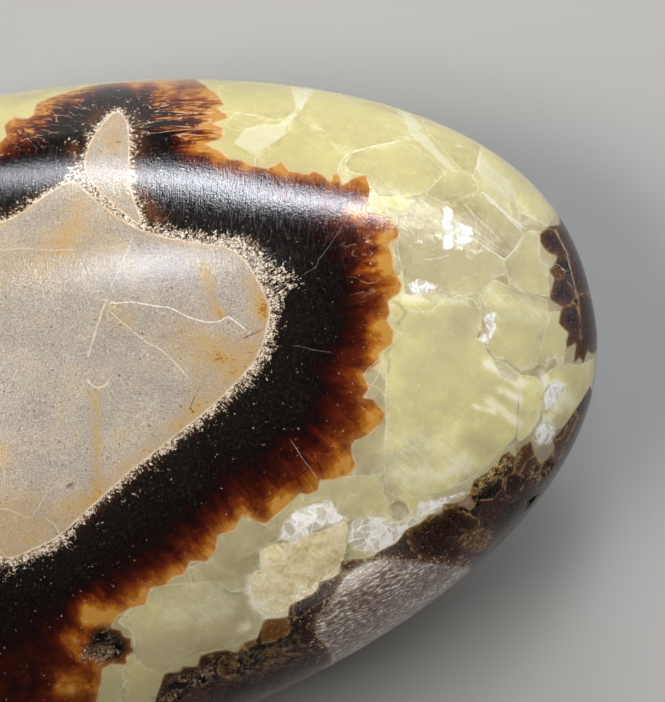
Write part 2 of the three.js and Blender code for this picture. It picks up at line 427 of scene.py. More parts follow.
# %% The crystals of the crown
CRYSTALS = [  # sheet, how light (0 to 1), outline
    (0, 0.52, [(18.4, 30), (18.2, 26.2), (17.6, 25.1), (19, 24.2), (19.8, 24), (20.4, 23), (21, 22.5),
               (22.3, 22.1), (24, 22.6), (26.8, 23.2), (27.2, 24.4), (26.2, 25.6), (25, 30)]),
    (0, 0.62, [(32.7, 21.8), (33.6, 24), (38, 20.5), (40, 17.6), (38.7, 15.9), (36.3, 17.2), (35.9, 18.6),
               (34.3, 19.5), (33, 20.6)]),
    (0, 0.56, [(29.3, 19.6), (30, 20.5), (31.2, 20.6), (32.4, 20.2), (32.9, 19.2), (32.8, 18.8), (31, 18.2),
               (29.9, 17.8), (28.4, 18.5)]),
    (0, 0.54, [(26.3, 16.6), (30, 16.2), (30.4, 17.6), (35, 13.1), (35.2, 11.9), (34.1, 11.6), (33.1, 10.4),
               (31.5, 10), (29.4, 10.4), (28.8, 10.2), (27, 10), (26.6, 10.2), (26.4, 12), (26, 14)]),
    (0, 0.8, [(36.3, 3.4), (37.8, 3.2), (38.1, 2.6), (38.1, -0.2), (37.2, -1.6), (36.1, -2.2)]),
    (1, 0.5, [(22.2, 4.6), (25.1, 3.6), (25.1, -1), (24.9, -4.9), (22.4, -4.9), (21.4, -3.4)]),
    (0, 0.62, [(19.4, -5.4), (22.6, -4.9), (25, -5), (24.7, -6.3), (25.3, -7.2), (25.1, -8.1), (22, -8.6),
               (21, -8), (20.8, -7), (19.6, -6.9), (18.5, -7.2), (18, -6.7)]),
    (0, 0.7, [(14.9, -10.8), (16, -10.4), (17, -10.9), (18.4, -9.9), (20, -9.4), (21.8, -8.8), (22, -10.2),
              (21.4, -12), (20.6, -13.1), (19.7, -13.4), (18, -12.9), (16.5, -12.3), (14.8, -12.6)]),
    (1, 0.49, [(10.5, 30), (11.2, 25.5), (13, 25.4), (16, 24.8), (17.4, 25.2), (18.2, 26.3), (17.2, 27.4),
               (18.3, 30)]),
    (1, 0.6, [(22.3, 22), (24, 22.5), (26.9, 23.1), (28.6, 21.7), (30, 20.5), (29.2, 19.4), (28.3, 18.6),
              (26, 18.2), (24.2, 18.3), (23.9, 20), (22.2, 20.3), (21.6, 20.9)]),
    (1, 0.48, [(30.4, 17.6), (31.6, 18.3), (33.2, 18.8), (35.7, 16.6), (36.8, 15.7), (36.8, 15.2),
               (35.9, 14), (35.1, 13), (33.4, 14.1), (31.9, 15.1), (30.7, 16.3)]),
    (1, 0.68, [(33.4, 5.9), (34.2, 7.2), (34.3, 8.4), (33.5, 8.9), (33, 9.9), (34.1, 11.4), (35.4, 10.8),
               (37, 10.2), (38.6, 9.7), (38.9, 8), (38.3, 6.6), (37.9, 5), (37.5, 4), (36.4, 3.7),
               (35.2, 4.6), (34.1, 4.8)]),
    (1, 0.34, [(25.3, -7.4), (26, -6.9), (26.7, -7.2), (27.1, -8.2), (26.1, -8.8), (25.2, -8.4)]),
    (1, 0.54, [(13.2, -8.3), (15.5, -9.2), (16.3, -10.2), (14.7, -10.7), (14.6, -12.4), (13.9, -14.1),
               (12.3, -14.6), (10.9, -13.6), (9, -13.8), (8.6, -12.6), (10.4, -11.8), (11, -10)]),
    (1, 0.74, [(14.7, -12.5), (16.5, -12.1), (18, -12.7), (19.6, -13.3), (19.3, -14), (17.8, -14.9),
               (17, -16), (15.9, -16.4), (14.9, -16.2), (14, -15.3), (13.8, -14.2), (14.1, -13)]),
    (2, 0.44, [(11.6, 24.2), (12.4, 25.4), (15.9, 24.8), (14, 24.1), (12.6, 23.8)]),
    (2, 0.52, [(14.2, 21.5), (15.8, 22.8), (16.9, 23.9), (17.5, 25.1), (18.9, 24.2), (19.8, 24), (20.4, 23),
               (21, 22.4), (22.2, 22), (21.4, 20.9), (21, 18), (14, 18)]),
    (2, 0.58, [(28.3, 24.5), (31.3, 20.8), (32.5, 20.2), (33.2, 22.8), (31.5, 27), (27.8, 27.5)]),
    (2, 0.4, [(36.3, 17.2), (36.2, 16.2), (38.7, 15.9)]),
    (2, 0.6, [(36.9, 15.5), (38.3, 15.6), (38, 13.7), (38.8, 12), (38.8, 10), (36.8, 10.3), (35.4, 11),
              (35, 13), (36.4, 14.3)]),
    (2, 0.72, [(25.1, 9.2), (26.3, 9.3), (26.9, 8.8), (28.9, 8.7), (29.3, 9.4), (31, 10), (32.3, 9.7),
               (33, 8.6), (33, 7.5), (32.5, 6.4), (33.2, 6.1), (33.5, 5.2), (34.1, 4.6), (35, 4.5),
               (36.3, 3.4), (36.4, 2), (36.1, 1.2), (36, -1.6), (34.6, -3.2), (33.2, -4.5), (31.6, -5.5),
               (30.2, -6.2), (28.3, -6.5), (27, -6.9), (26, -6.8), (25.2, -6.2), (24.9, -5), (25, 2)]),
    (2, 0.74, [(38.1, 3.2), (39.8, 4.4), (41.3, 4.2), (45, 5.5), (43.5, 0), (40.8, -0.5), (38.4, -1.9),
               (38.2, 0)]),
    (2, 0.62, [(5.8, -14), (8.8, -13.8), (10.9, -13.6), (12.3, -14.6), (13.8, -14.4), (14.9, -16.4),
               (14.6, -18.2), (12, -19.3), (9.3, -19.8), (6, -21.6), (4.2, -20.3), (4.2, -18), (2.8, -17),
               (4, -15.9), (5.2, -15.6)]),
    (2, 0.9, [(15, -10.9), (15.9, -10.5), (16.7, -11.2), (16.8, -12), (15.9, -12.3), (15, -12.2)]),
]
SHEETS = 3

crystal_in = np.full((len(skin), SHEETS), FAR_OUT)
crystal_tone = np.full((len(skin), SHEETS), 0.5)
crown_side = np.clip((height - 1) / 3, 0, 1)
for sheet, tone, outline in CRYSTALS:
    depth, _ = depth_inside(sketch, np.array(outline, float))
    nearer = depth > crystal_in[:, sheet]
    crystal_in[nearer, sheet] = depth[nearer]
    crystal_tone[nearer, sheet] = tone
crystal_in = crystal_in * crown_side[:, None] + FAR_OUT * (1 - crown_side[:, None])
print("drawn crystals:", len(CRYSTALS))

# %% [markdown]
# Inside the crystals, cleavage planes throw the light back as bright patches, painted in as pale colour:
# a painted reflection. Along the front some calcite was crushed to white splinters, and some grew muddy
# with clay; two white patches in the strip's streak are a painted highlight. These overlap the crystals,
# so they are outlines of their own, and each point stores how deep it lies in whichever is nearest.

# %% Cleavage planes, crushed patches and muddy crystals
# The pale sheets drawn on these planes are a painted reflection.
PAINTED_REFLECTION_PLANES = [  # cleavage planes inside the crystals that throw the light back
    [(12.3, 22.7), (13.3, 24.1), (15, 24.4), (16.9, 24.6), (16.6, 23.5), (15.6, 22.7), (14.2, 21.6)],
    [(27.0, 23.6), (27.7, 24.2), (28.4, 23.9), (29.7, 22.2), (30.6, 21.2), (31.1, 20.6), (30.2, 20.6),
     (29.0, 21.9), (27.9, 22.9)],
    [(26.2, 26.2), (27.4, 25.6), (28.3, 24.3), (27.1, 23.4), (26.9, 24.4)],
    [(32.7, 20.5), (33.1, 21.7), (33.5, 22.4), (33.9, 21.2), (34.6, 20.6), (35.8, 19.8), (36.2, 18.0),
     (35.0, 18.2), (33.5, 19.5)],
    [(17, 28), (19.2, 27.8), (18, 25.7), (17, 24.4), (16.1, 24.5), (17.5, 25.8)],
    [(33.1, 18.9), (33.8, 18.7), (36.8, 15.8), (36.4, 15.4)],
    [(33.8, 4.7), (34.9, 4.5), (36.2, 3.3), (36, 2.7), (34.6, 3.3)],
]
FROSTED_AND_PAINTED_GLINTS = [  # crushed, frosted patches where the crystals shattered
    [(16.3, -9.1), (17, -8.3), (18, -7.5), (19.5, -7.2), (20.5, -6.9), (21, -7.9), (21.7, -8.4),
     (21, -8.8), (19.5, -9.3), (18.3, -9.9), (17.2, -10.5), (16.3, -10.1)],
    [(22, -8.8), (24.3, -8.3), (25.2, -8.7), (26.5, -9), (27.6, -8.2), (27.7, -7.2), (29.2, -6.9),
     (31.8, -6.4), (30, -7.4), (28.4, -8.3), (27, -9.3), (26.2, -10.3), (24.8, -11.4), (22.4, -11.2),
     (21.9, -10.5)],
    [(32.8, 6.3), (33.4, 7), (33.3, 8.5), (34.1, 8.6), (34.2, 7.3), (33.6, 6)],
    [(26.9, 10.9), (27.8, 11.3), (29.3, 10.9), (28.7, 10.3), (27.3, 10.1)],
    [(37.6, -1.2), (38.6, -0.4), (39.5, -1.2), (39, -2.4), (38, -2.4)],
    [(38.3, 0.3), (38.5, 2.4), (39.6, 2.8), (40.4, 2.6), (39.9, 1.5), (39, 0.8)],
    # The next two are white shards where the strip's streak crosses the calcite: a painted highlight.
    [(29.8, 17.6), (30.6, 17.3), (30.6, 14), (29.9, 13.8), (29.9, 15.5)],
    [(30.8, 16.2), (32.1, 15.8), (32.4, 14.8), (31.4, 14.1), (31, 14.6)],
]
BEIGE = [  # calcite that is beige and lumpy with clay
    [(14.7, -10.9), (15.8, -10.7), (16.2, -10.5), (17.4, -10.4), (18.4, -9.7), (19.6, -9.6), (21.7, -8.6),
     (21.9, -9), (21.7, -9.8), (21.7, -11.3), (21.3, -12.1), (21.2, -13.1), (20.4, -13.6), (19.6, -13.8),
     (19.2, -14.7), (18.4, -15), (17, -15.8), (16.9, -16.7), (15.9, -16.9), (14.8, -16.5), (14.3, -16.1),
     (14.2, -15.5), (13.7, -14.5), (13.9, -13.6), (14.1, -12.9), (14.7, -12.7)],
    [(22, -11.2), (24.8, -11.6), (26.4, -10.4), (28.6, -8.4), (27, -9.6), (25, -12)],
]


def deepest_inside(outlines):
    """How deep each point of the crown lies inside whichever of the outlines it lies deepest in."""
    depths = [depth_inside(sketch, np.array(outline, float))[0] for outline in outlines]
    return np.where(on_crown, np.maximum(np.max(depths, axis=0), FAR_OUT), FAR_OUT)


painted_reflection_in = deepest_inside(PAINTED_REFLECTION_PLANES)
frost_and_glint_in = deepest_inside(FROSTED_AND_PAINTED_GLINTS)
beige_in = deepest_inside(BEIGE)
print("planes:", len(PAINTED_REFLECTION_PLANES), "crushed:", len(FROSTED_AND_PAINTED_GLINTS), "muddy:", len(BEIGE))

# %% [markdown]
# ## Hairlines
#
# Thin cracks healed with pale calcite cross the limestone, a few dark ones are open, and fine pale lines
# also mark steps and edges on the calcite crystals. For a line the distance alone isn't enough: close to
# it the number turns round, and the line breaks up between the points. So each point stores on which
# side of the line it lies as well, and the line is where that signed distance passes zero.

# %% Hairlines
CRESCENT_CENTRE = (1.4, 3.35)
CRESCENT_RADIUS = 0.95
turns = np.radians(np.arange(190, 351, 20))
CRESCENT = CRESCENT_RADIUS * np.column_stack([np.cos(turns), np.sin(turns)]) + CRESCENT_CENTRE
HAIRLINES = [  # half width, how strong (a minus sign for a dark one), places along it
    (0.055, 0.9, [(1.2, 9.4), (1.9, 9.7), (2.7, 9.3), (4, 9.45), (6, 9.1), (7.3, 8.95), (8.3, 8.4),
                  (9.2, 8), (10.4, 7.75), (11.3, 7.8), (12, 8.3), (12.9, 7.6), (14.3, 6.5)]),
    (0.045, 0.6, [(2, 9), (3, 8), (4, 7.2), (5.2, 6.2), (6.4, 5.6), (7.2, 4.9), (8, 4.1), (8.9, 3)]),
    (0.05, 0.4, [(4.2, 15), (3.6, 13.4), (2.8, 11.6), (2.2, 10.3)]),
    (0.075, 0.5, [(2.1, 9.7), (1.7, 8.8), (1.3, 7.5), (0.9, 6.2), (0.5, 4.8)]),
    (0.07, 0.65, CRESCENT),
    (0.04, 0.35, [(-8, 13.6), (-5, 13.9), (-2.5, 13.7), (0, 13.8)]),
    (0.035, 0.45, [(-9, -7.4), (-6, -7.6), (-4.2, -8.4), (-3.3, -7), (-2.8, -6)]),
    (0.04, 0.45, [(-3, -8.3), (-2.3, -8.8), (-1.8, -9.6)]),
    (0.06, 0.7, [(22.2, 22), (24.1, 22.6), (26.4, 23.1)]),
    (0.06, 0.6, [(22, 22), (21.3, 21.2), (21, 20.2)]),
    (0.05, 0.5, [(28, 13), (29.4, 13.1), (30.4, 13.4)]),
    (0.03, 0.14, [(18, 11.6), (19.2, 12.3), (19.5, 13), (20.2, 13.9), (20.8, 14.8), (21.6, 16)]),
    (0.04, 0.12, [(7, 23.3), (8.6, 23.7), (10, 24), (11.2, 23.9)]),
    (0.03, 0.14, [(17.2, 5.9), (18.4, 5.7), (19.4, 5.4), (20.6, 5.3)]),
    (0.05, 0.4, [(23.1, 3.3), (23.5, 3.9), (24.3, 4.6), (24.8, 4.8)]),
    (0.05, 0.4, [(24.8, 4.8), (24.5, 3.6), (23.6, 2.2)]),
    (0.17, -0.3, [(25.5, 9.6), (26.2, 9.2), (26.7, 8.6), (26.4, 8.1), (25.8, 7.4)]),
    (0.17, -0.3, [(25.9, 6.1), (25.1, 5.4), (25.0, 4.9), (25.3, 4.5), (25.2, 3.5)]),
    (0.035, 0.3, [(17.1, -1.8), (18.1, -3.4), (18.7, -4.2), (19.4, -5.2)]),
    (0.05, 0.3, [(39.5, 15.9), (39.8, 15.1), (40.5, 13.8), (40.7, 12.7), (41.1, 11.1), (41.3, 10.1)]),
    (0.05, 0.35, [(38.9, 12.4), (39.5, 12.8), (40.5, 12.1)]),
    (0.05, 0.5, [(34, 4.2), (35, 3.4), (36, 2.9)]),
    (0.05, 0.4, [(33.6, 1.2), (34.6, 0.6), (35.4, 0.2)]),
    (0.07, -0.75, [(13.1, 6.4), (13.9, 6.7), (14.9, 7.2)]),
    (0.05, -0.7, [(9.4, 1.9), (9.1, 1.2), (8.9, 0.7), (9.3, 0.3)]),
    (0.17, -0.9, [(-1.2, -5.8), (-0.9, -5.6), (-0.6, -5.45)]),
    (0.08, -0.7, [(2.4, 22.9), (2.8, 22.8), (3.1, 22.85)]),
    (0.05, -0.35, [(-0.4, 13.8), (0.1, 12.6), (0.7, 11.2), (1.3, 10.1)]),
    (0.05, -0.5, [(5.7, -1.3), (6.0, -1.7), (6.3, -1.8)]),
    (0.05, -0.4, [(-5.8, 6.6), (-5.5, 6.4), (-5.2, 6.3)]),
    (0.06, 0.5, [(14.8, -12.6), (15.5, -12.4), (16.1, -12.1), (16.6, -12.2), (16.8, -11.5), (15.9, -10.7)]),
    (0.05, 0.35, [(16.1, -12.1), (17, -12.4), (17.7, -12.8), (18.3, -13.2), (18.9, -13.2), (19.6, -13.7)]),
    (0.06, 0.6, [(18.6, -11), (18.9, -11.4), (19.3, -11.7)]),
    (0.06, 0.55, [(16.5, -13.5), (17, -13.7), (17.7, -13.7)]),
    (0.06, 0.5, [(16.3, -14.8), (16.5, -15)]),
    (0.09, 0.6, [(14.7, -12.7), (14.1, -12.9), (13.9, -13.6), (13.7, -14.5), (14.2, -15.5), (14.3, -16.1),
                 (15, -16.7)]),
    (0.07, 0.5, [(17.4, -10.4), (18.4, -9.7), (19.6, -9.6), (20.4, -9.1), (21.7, -8.6)]),
    (0.2, 0.45, [(17, -11.5), (17.1, -11), (17.3, -10.6)]),
    (0.12, 0.32, [(31.5, 17.9), (32.5, 16.7), (33.8, 15.6), (34.9, 14.4)]),
    (0.09, 0.25, [(30.8, 17.1), (32.3, 15.6), (34.6, 14)]),
    (0.06, 0.6, [(33.2, 18.8), (34.6, 17.5), (36.8, 15.7)]),
    (0.06, 0.45, [(33.3, 18.4), (35, 17), (36.5, 15.5)]),
    (0.06, 0.5, [(30.7, 16.3), (31.9, 15.1), (33.4, 14.1), (35.1, 13), (35.9, 14), (36.8, 15.2)]),
    (0.05, 0.5, [(36.1, 17.2), (37.5, 16.7), (39, 16)]),
    (0.12, 0.5, [(31, 22.8), (31.3, 22.8), (31.7, 22.7)]),
    (0.1, 0.55, [(33.2, 22.5), (33, 21.4), (32.7, 20.6)]),
]


def along_line(places, line):
    """Signed distance to an open line, and how far along it the nearest place lies, from 0 to 1."""
    line = np.array(line, float)
    lengths = np.linalg.norm(np.diff(line, axis=0), axis=1)
    start = np.concatenate([[0], np.cumsum(lengths)])
    best = np.full(len(places), np.inf)
    signed = np.zeros(len(places))
    share_along = np.zeros(len(places))
    for i, length in enumerate(lengths):
        edge = (line[i + 1] - line[i]) / length
        offset = places - line[i]
        run = np.clip(offset @ edge, 0, length)
        distance = np.linalg.norm(offset - run[:, None] * edge, axis=1)
        closer = distance < best
        side = np.where(offset @ np.array([-edge[1], edge[0]]) > 0, 1, -1)
        best[closer] = distance[closer]
        signed[closer] = (side * distance)[closer]
        share_along[closer] = ((start[i] + run) / start[-1])[closer]
    return signed, share_along


HAIR_REACH = 0.5  # a line is only drawn this near to it
USUAL_HALF_WIDTH = 0.05
hair_side = np.full(len(skin), FAR_OUT)
hair_strength = np.zeros(len(skin))
hair_half_width = np.full(len(skin), USUAL_HALF_WIDTH)
for half_width, strength, line in HAIRLINES:
    signed, share = along_line(sketch, line)
    nearer = np.abs(signed) < np.abs(hair_side)
    fade = np.minimum(1, 12 * np.minimum(share, 1 - share))
    shown = strength * fade * (np.abs(signed) < HAIR_REACH) * on_crown
    hair_side[nearer] = signed[nearer]
    hair_strength[nearer] = shown[nearer]
    hair_half_width[nearer] = half_width
print("hairlines:", len(HAIRLINES))

# %% [markdown]
# ## Stains, clouds and glowing tips
#
# Iron has stained the limestone ochre along some cracks, the calcite has milky clouds, and some
# aragonite tips are clear enough to glow amber. Where the strip's streak runs on over the calcite, two of
# the clouds are a painted highlight. All of these fade out without a border, so each is a soft strip or
# spot. A point stores the sum of those that reach it, and of the tips the strongest.

# %% Soft spots
STAINS = [  # from, to, reach, strength
    ((1.2, 2), (1.3, -7), 0.4, 0.85),
    ((2.4, 8.6), (3.4, 8.0), 1.0, 0.8),
    ((10.0, 12.2), (10.8, 9.3), 0.55, 0.85),
    ((10.8, 9.4), (11.6, 8.4), 0.3, 0.6),
    ((11.1, 8.55), (11.5, 8.4), 0.28, 1.6),
    ((14, 11.2), (15, 8.9), 0.9, 1.0),
    ((14.9, 8.4), (14.4, 5.6), 0.9, 0.7),
    ((14.2, 4.6), (8.2, -0.6), 0.8, 0.8),
    ((8.2, 6.6), (11.2, 5.4), 1.8, 0.7),
    ((11.6, 4.6), (13.2, 5.2), 1.4, 0.75),
    ((9.6, 3.6), (9.0, 0.8), 0.8, 0.5),
    ((-0.4, 18.5), (-1.8, 14), 1.5, 0.5),
    ((-7, 12), (1, 14.6), 2.2, 0.45),
    ((7.5, -1), (0.5, -7), 0.8, 0.5),
    ((0.5, -7), (-6, -11), 1.2, 0.8),
    ((-4.5, -7.6), (-7.5, -9), 1.6, 0.7),
    ((2.3, 25.2), (2.3, 22.9), 1.1, 0.8),
    ((3.1, 19.4), (4.2, 17.4), 0.5, 0.4),
    ((-7, -3), (-9, -9), 1.4, 0.6),
]
VEILS_AND_PAINTED_HIGHLIGHT = [  # from, to, reach, strength: milky clouds in the calcite, or with a minus sign dim ones
    # The first two strips paint the strip's streak running on over the calcite: a painted highlight on milky
    # cloud.
    ((24.2, 18.3), (28, 17.6), 0.7, 0.3),
    ((28, 17.5), (31.8, 14.4), 0.7, 0.25),
    ((34, 9.8), (37.8, 8.6), 0.8, 0.4),
    ((26.6, 9.8), (31.6, 9.6), 0.5, 0.5),
    ((33.5, 4.4), (36.3, 2.7), 0.45, 0.8),
    ((34.6, 2.2), (36.2, 1.4), 0.3, 0.7),
    ((33.6, 1.2), (36.1, -0.6), 0.4, 0.7),
    ((32.4, 0.8), (34.1, 0.3), 0.2, 0.7),
    ((38.4, 3.2), (39.6, 0.4), 0.4, 0.8),
    ((39.2, 2.2), (40.6, 1.2), 0.8, 0.5),
    ((38.0, -2), (38.8, -0.4), 0.6, 0.9),
    ((26.5, -4.8), (31.5, -4.4), 1.4, 0.5),
    ((25.8, -2.4), (31, -2.2), 1.1, 0.25),
    ((37.2, 2.6), (37.2, -1.2), 0.6, 0.1),
    ((14.9, -11.2), (14.9, -12.4), 0.3, 0.8),
    ((17.2, -11.2), (21.4, -9.3), 0.35, 0.5),
    ((13.9, -13.4), (13.8, -14.6), 0.35, 1.0),
    ((14.1, -15.4), (15.2, -16.6), 0.45, 1.2),
    ((15.6, -13.2), (18.2, -14.4), 0.4, 0.35),
    ((20.9, -10.6), (20.6, -12.6), 0.8, -0.5),
    ((22.6, -9.8), (27.4, -8.6), 0.9, 0.5),
    ((8, -16.6), (11, -15.8), 1.6, 0.3),
    ((13, -17.7), (13.4, -17.5), 0.4, 1.0),
    ((33, 19.4), (37.5, 17), 0.9, 0.15),
    ((31.8, -2), (33.6, -2.6), 0.8, -0.45),
    ((26, 7.6), (31.5, 7.8), 1.3, -0.45),
    ((24.9, -5.4), (25.8, -6.6), 0.5, -0.6),
    ((12, -12.6), (14, -10.4), 1.6, -0.15),
    ((6, -19.4), (13, -18.4), 1.4, -0.2),
    ((31, 17.8), (32.4, 16.6), 0.8, -0.3),
    ((22.8, -2.6), (24.4, 1), 0.8, -0.3),
]
FROSTY_REACH = 0.34  # how far the fringe reaches, in millimetres, where it isn't thicker
THICK_FRINGE = [  # from, to, reach, how much further
    ((13, 13.6), (16.6, 11.6), 1.7, 1.5),
    ((15.6, 9.5), (15.4, 5.5), 1.0, 0.6),
    ((16.6, 11.6), (18.2, 10.6), 0.7, 1.0),
    ((0.2, 20.6), (1.6, 24.6), 1.2, 0.12),
    ((4.2, 24.5), (4.4, 18), 1.1, 0.16),
    ((5, 15.6), (12, 14.6), 0.9, 0.4),
    ((13.4, 2.4), (14.6, 4.2), 0.9, 0.6),
    ((7, -2.6), (12, 1.6), 0.8, 0.35),
    ((-0.9, 20.2), (4.4, 15.7), 0.6, 1.1),
    ((-7.4, -12), (-1.6, -10.2), 1.0, 0.8),
    ((-1, -9), (6, -2.8), 0.8, 0.22),
]
GLOWING_TIPS = [  # place, reach, strength
    ((25.2, 15), 1.5, 1), ((25, 12.6), 1.4, 1), ((24.9, 10.8), 1.8, 1), ((24.4, 7), 1.8, 1),
    ((24.2, 5), 1.0, 1), ((23.9, -0.2), 1.5, 1.2), ((21.6, -4.3), 1.4, 1), ((19, -5.3), 0.9, 0.8),
    ((16.4, -7.4), 1.4, 0.9),
    ((12.6, -9.2), 1.1, 0.8), ((10.2, -11.2), 1.4, 0.9), ((7.6, -12.8), 1.4, 0.9), ((4.4, -14.9), 1.4, 1),
    ((2.0, -16.2), 1.4, 1), ((-6, 24.3), 1.0, 1), ((-3.6, 26.3), 0.9, 1), ((10.6, 27), 1.2, 1.1),
    ((11, 25.2), 0.7, 1), ((10, 24.3), 0.6, 1), ((11, 21.6), 1.0, 1), ((13, 20.6), 0.8, 0.9),
    ((16.3, 20.5), 0.8, 1), ((19.1, 20), 0.8, 1), ((21, 19.8), 0.5, 1), ((22.2, 17.1), 0.5, 1),
    ((3.9, 28.0), 1.1, 1.6), ((6.3, 27.6), 1.3, 1.5), ((8.8, 26.8), 1.4, 1.0), ((8, 25.4), 1.3, 0.9),
    ((6.5, 25.4), 2.2, 0.6), ((8.5, 22.4), 1.6, 0.6), ((0.2, -16.4), 1.9, 2.1), ((-5.5, -18.5), 5.5, 1.25),
    ((-0.6, -18.6), 1.7, 2.0), ((-1.6, -22), 1.6, 1.6), ((22.6, 8.5), 2.2, 0.35), ((22, 4), 2.4, 0.3),
]
WARM_SPOTS = [  # from, to, reach, strength: where the needles at the wall are brown, not black
    ((5.0, 18), (6.2, 16.5), 0.8, 0.9),
    ((-1.2, 22.4), (-0.5, 20.8), 0.7, 0.6),
    ((0.2, 24.4), (1, 25.4), 0.5, 0.6),
    ((4.2, 24.4), (4.4, 19.5), 0.9, 0.5),
    ((13.2, 14.6), (14.4, 14.2), 0.5, 0.6),
]
STREAKED = [  # from, to, reach, strength: where the blades differ most and have pale seams
    ((5.4, 25.8), (10.4, 25.4), 1.3, 1.0),
    ((5.8, 24), (11, 23.2), 1.2, 1.0),
    ((-5, 23.4), (-0.6, 26.6), 1.2, 0.7),
    ((6, 16.8), (5, 18), 0.9, 0.7),
    ((23, 14.6), (23.4, 11), 1.3, 0.35),
]
SHATTERED = [  # from, to, reach, strength: where the polish is broken into small facets
    ((25, 18), (32, 15.2), 2.0, 1.0),
    ((16.6, -8.8), (27.5, -8.4), 1.6, 0.8),
    ((14, -14), (19, -13.4), 2.4, 0.5),
    ((38.5, 2), (38.6, -1.6), 1.2, 0.8),
]


def soft_spots(spots):
    """The sum of soft strips, each with its ends, its reach and its strength, on the crown."""
    total = np.zeros(len(skin))
    for start, end, reach, strength in spots:
        signed, _ = along_line(sketch, [start, end])
        total += strength * np.exp(-((signed / reach) ** 2)) * on_crown
    return total


stain = soft_spots(STAINS)
veil_and_painted_highlight = soft_spots(VEILS_AND_PAINTED_HIGHLIGHT)
frosty = FROSTY_REACH + soft_spots(THICK_FRINGE)
warm = soft_spots(WARM_SPOTS)
streaked = soft_spots(STREAKED)
shattered = soft_spots(SHATTERED)
GLOW_BELOW = 0.5  # the tips that nobody drew, below the crown, all glow this much
glow = GLOW_BELOW * np.clip((8 - height) / 5, 0, 1)
for spot, reach, strength in GLOWING_TIPS:
    off = np.linalg.norm(sketch - np.array(spot), axis=1)
    glow = np.maximum(glow, strength * np.exp(-((off / reach) ** 2)) * on_crown)
print("soft spots:", len(STAINS + VEILS_AND_PAINTED_HIGHLIGHT + THICK_FRINGE + WARM_SPOTS + STREAKED + SHATTERED + GLOWING_TIPS))

# %% [markdown]
# The dull rim in front is a crowd of stubby crystals, and the larger ones are drawn too. Between them
# sits a pale golden crust.

# %% Stubby crystals of the dull rim
LUMPS = [  # shade (0 black, 0.36 red brown, 0.6 violet brown, 0.78 amber brown, 1 pinkish grey), outline
    (0.44, [(38.1, 15.3), (38.6, 15.6), (38.8, 15.8), (39.4, 15.7), (39.8, 15.1), (40.3, 14.1), (40.5, 13),
            (39.5, 13.4), (38.9, 13.6), (38.4, 14.1), (38.1, 14.6)]),
    (0.45, [(39.4, 17.6), (40.5, 17.2), (42, 15.8), (43, 14), (43.4, 11.9), (43, 11), (42.4, 10.4),
            (41.4, 10.2), (41, 11.7), (40.6, 13.7), (40, 14.9), (39.5, 15.9), (39.4, 16.5)]),
    (0.54, [(39.3, 11.5), (40.3, 11.5), (41, 10.7), (41.3, 10), (40.6, 9.3), (39.9, 9.1), (38.9, 9.7),
            (38.9, 10.2)]),
    (0.66, [(38.8, 12.2), (39.5, 12.6), (40.4, 12.1), (40.2, 11.5), (39.3, 11.5)]),
    (0.5, [(40, 9), (41.2, 9.4), (41.6, 8.2), (41.6, 6.7), (41.1, 6), (40.3, 5.5), (40.3, 6.1), (40.5, 6.9),
           (39.6, 7.7)]),
    (0.33, [(41.5, 10.1), (42.4, 10.3), (43.4, 9.5), (43.8, 8.2), (43.6, 6.6), (42.8, 4.8), (42.3, 5.1),
            (41.9, 4.1), (41.5, 4.7), (40.9, 4.2), (41.2, 5.9), (41.8, 6.6), (41.6, 8.3)]),
    (0.05, [(34.3, -4.1), (34.6, -3.3), (35.2, -2.9), (35.5, -3.2), (35.1, -3.8), (34.6, -4.3)]),
    (0.05, [(32.5, -5.5), (32.8, -4.7), (33.7, -4.4), (33.8, -4.8), (33.2, -5.4), (32.6, -5.7)]),
    (0.48, [(36, -3.9), (36.4, -3), (37.3, -2), (37.7, -2.6), (37.6, -3.4), (36.8, -4.1), (36.4, -4.8),
            (35.9, -4.8)]),
    (0.15, [(37.6, -4.2), (38, -3.7), (38.6, -3.8), (38.5, -4.4), (37.9, -4.8), (37.6, -4.6)]),
    (0.1, [(32.5, -6.6), (33.4, -5.6), (34.5, -5.1), (34.9, -5.4), (34.8, -6.2), (34.2, -7), (32.9, -7.1)]),
    (0.25, [(35.2, -5), (35.8, -4.9), (37.2, -5.3), (36.5, -6.3), (35.5, -7), (35.1, -6.6)]),
    (0.45, [(38.9, -3.2), (39.3, -2.2), (40.1, -2), (40.5, -1), (41.3, 0.2), (41.5, -0.2), (40.7, -1.9),
            (40, -3.6), (39.4, -4.1)]),
    (0.33, [(26.9, -9.1), (28.3, -8.4), (29.9, -7.2), (30.7, -7.2), (31.1, -7.8), (31.9, -8.3), (32.9, -8.8),
            (33, -9.6), (31.7, -10.4), (31.8, -11.5), (31.4, -12.5), (29.6, -12.4), (28.1, -12),
            (27.3, -11.3), (26.8, -10.1)]),
    (0.7, [(31.8, -10.5), (33, -9.7), (33.9, -9.7), (33.9, -10.6), (33.4, -11.4), (32.6, -11.7),
           (31.9, -11.4)]),
    (0.97, [(30.6, -6.9), (31.3, -6.3), (32.2, -6.6), (32.5, -7.3), (32.3, -7.9), (31.7, -7.8), (31, -7.6)]),
    (0.08, [(21.2, -13.3), (21.7, -12.1), (22.7, -12), (21.9, -12.9), (21.1, -13.9), (20.7, -14.9),
            (19.7, -15.5), (18.7, -16.1), (17.9, -16.9), (17.3, -16.7), (17.4, -15.6), (18.3, -15.1),
            (19.4, -14.7), (19.7, -13.9), (20.3, -13.7)]),
    (0.74, [(14.8, -17.3), (15.3, -16.9), (16.7, -16.8), (17.1, -17.6), (16.8, -18.4), (15.9, -18.8),
            (14.5, -19)]),
    (0.05, [(9.4, -20.1), (10.6, -20), (10.6, -21.2), (9.5, -21.4)]),
    (0.05, [(8, -21.1), (9, -20.8), (9, -22), (7.8, -22.1)]),
    (0.28, [(11, -20.6), (12.1, -19.6), (12.6, -20.2), (12.8, -21.5), (11.8, -22), (11.1, -21.6)]),
    (0.66, [(13.1, -18.9), (14.2, -18.4), (14, -19.4), (13.3, -19.5)]),
]
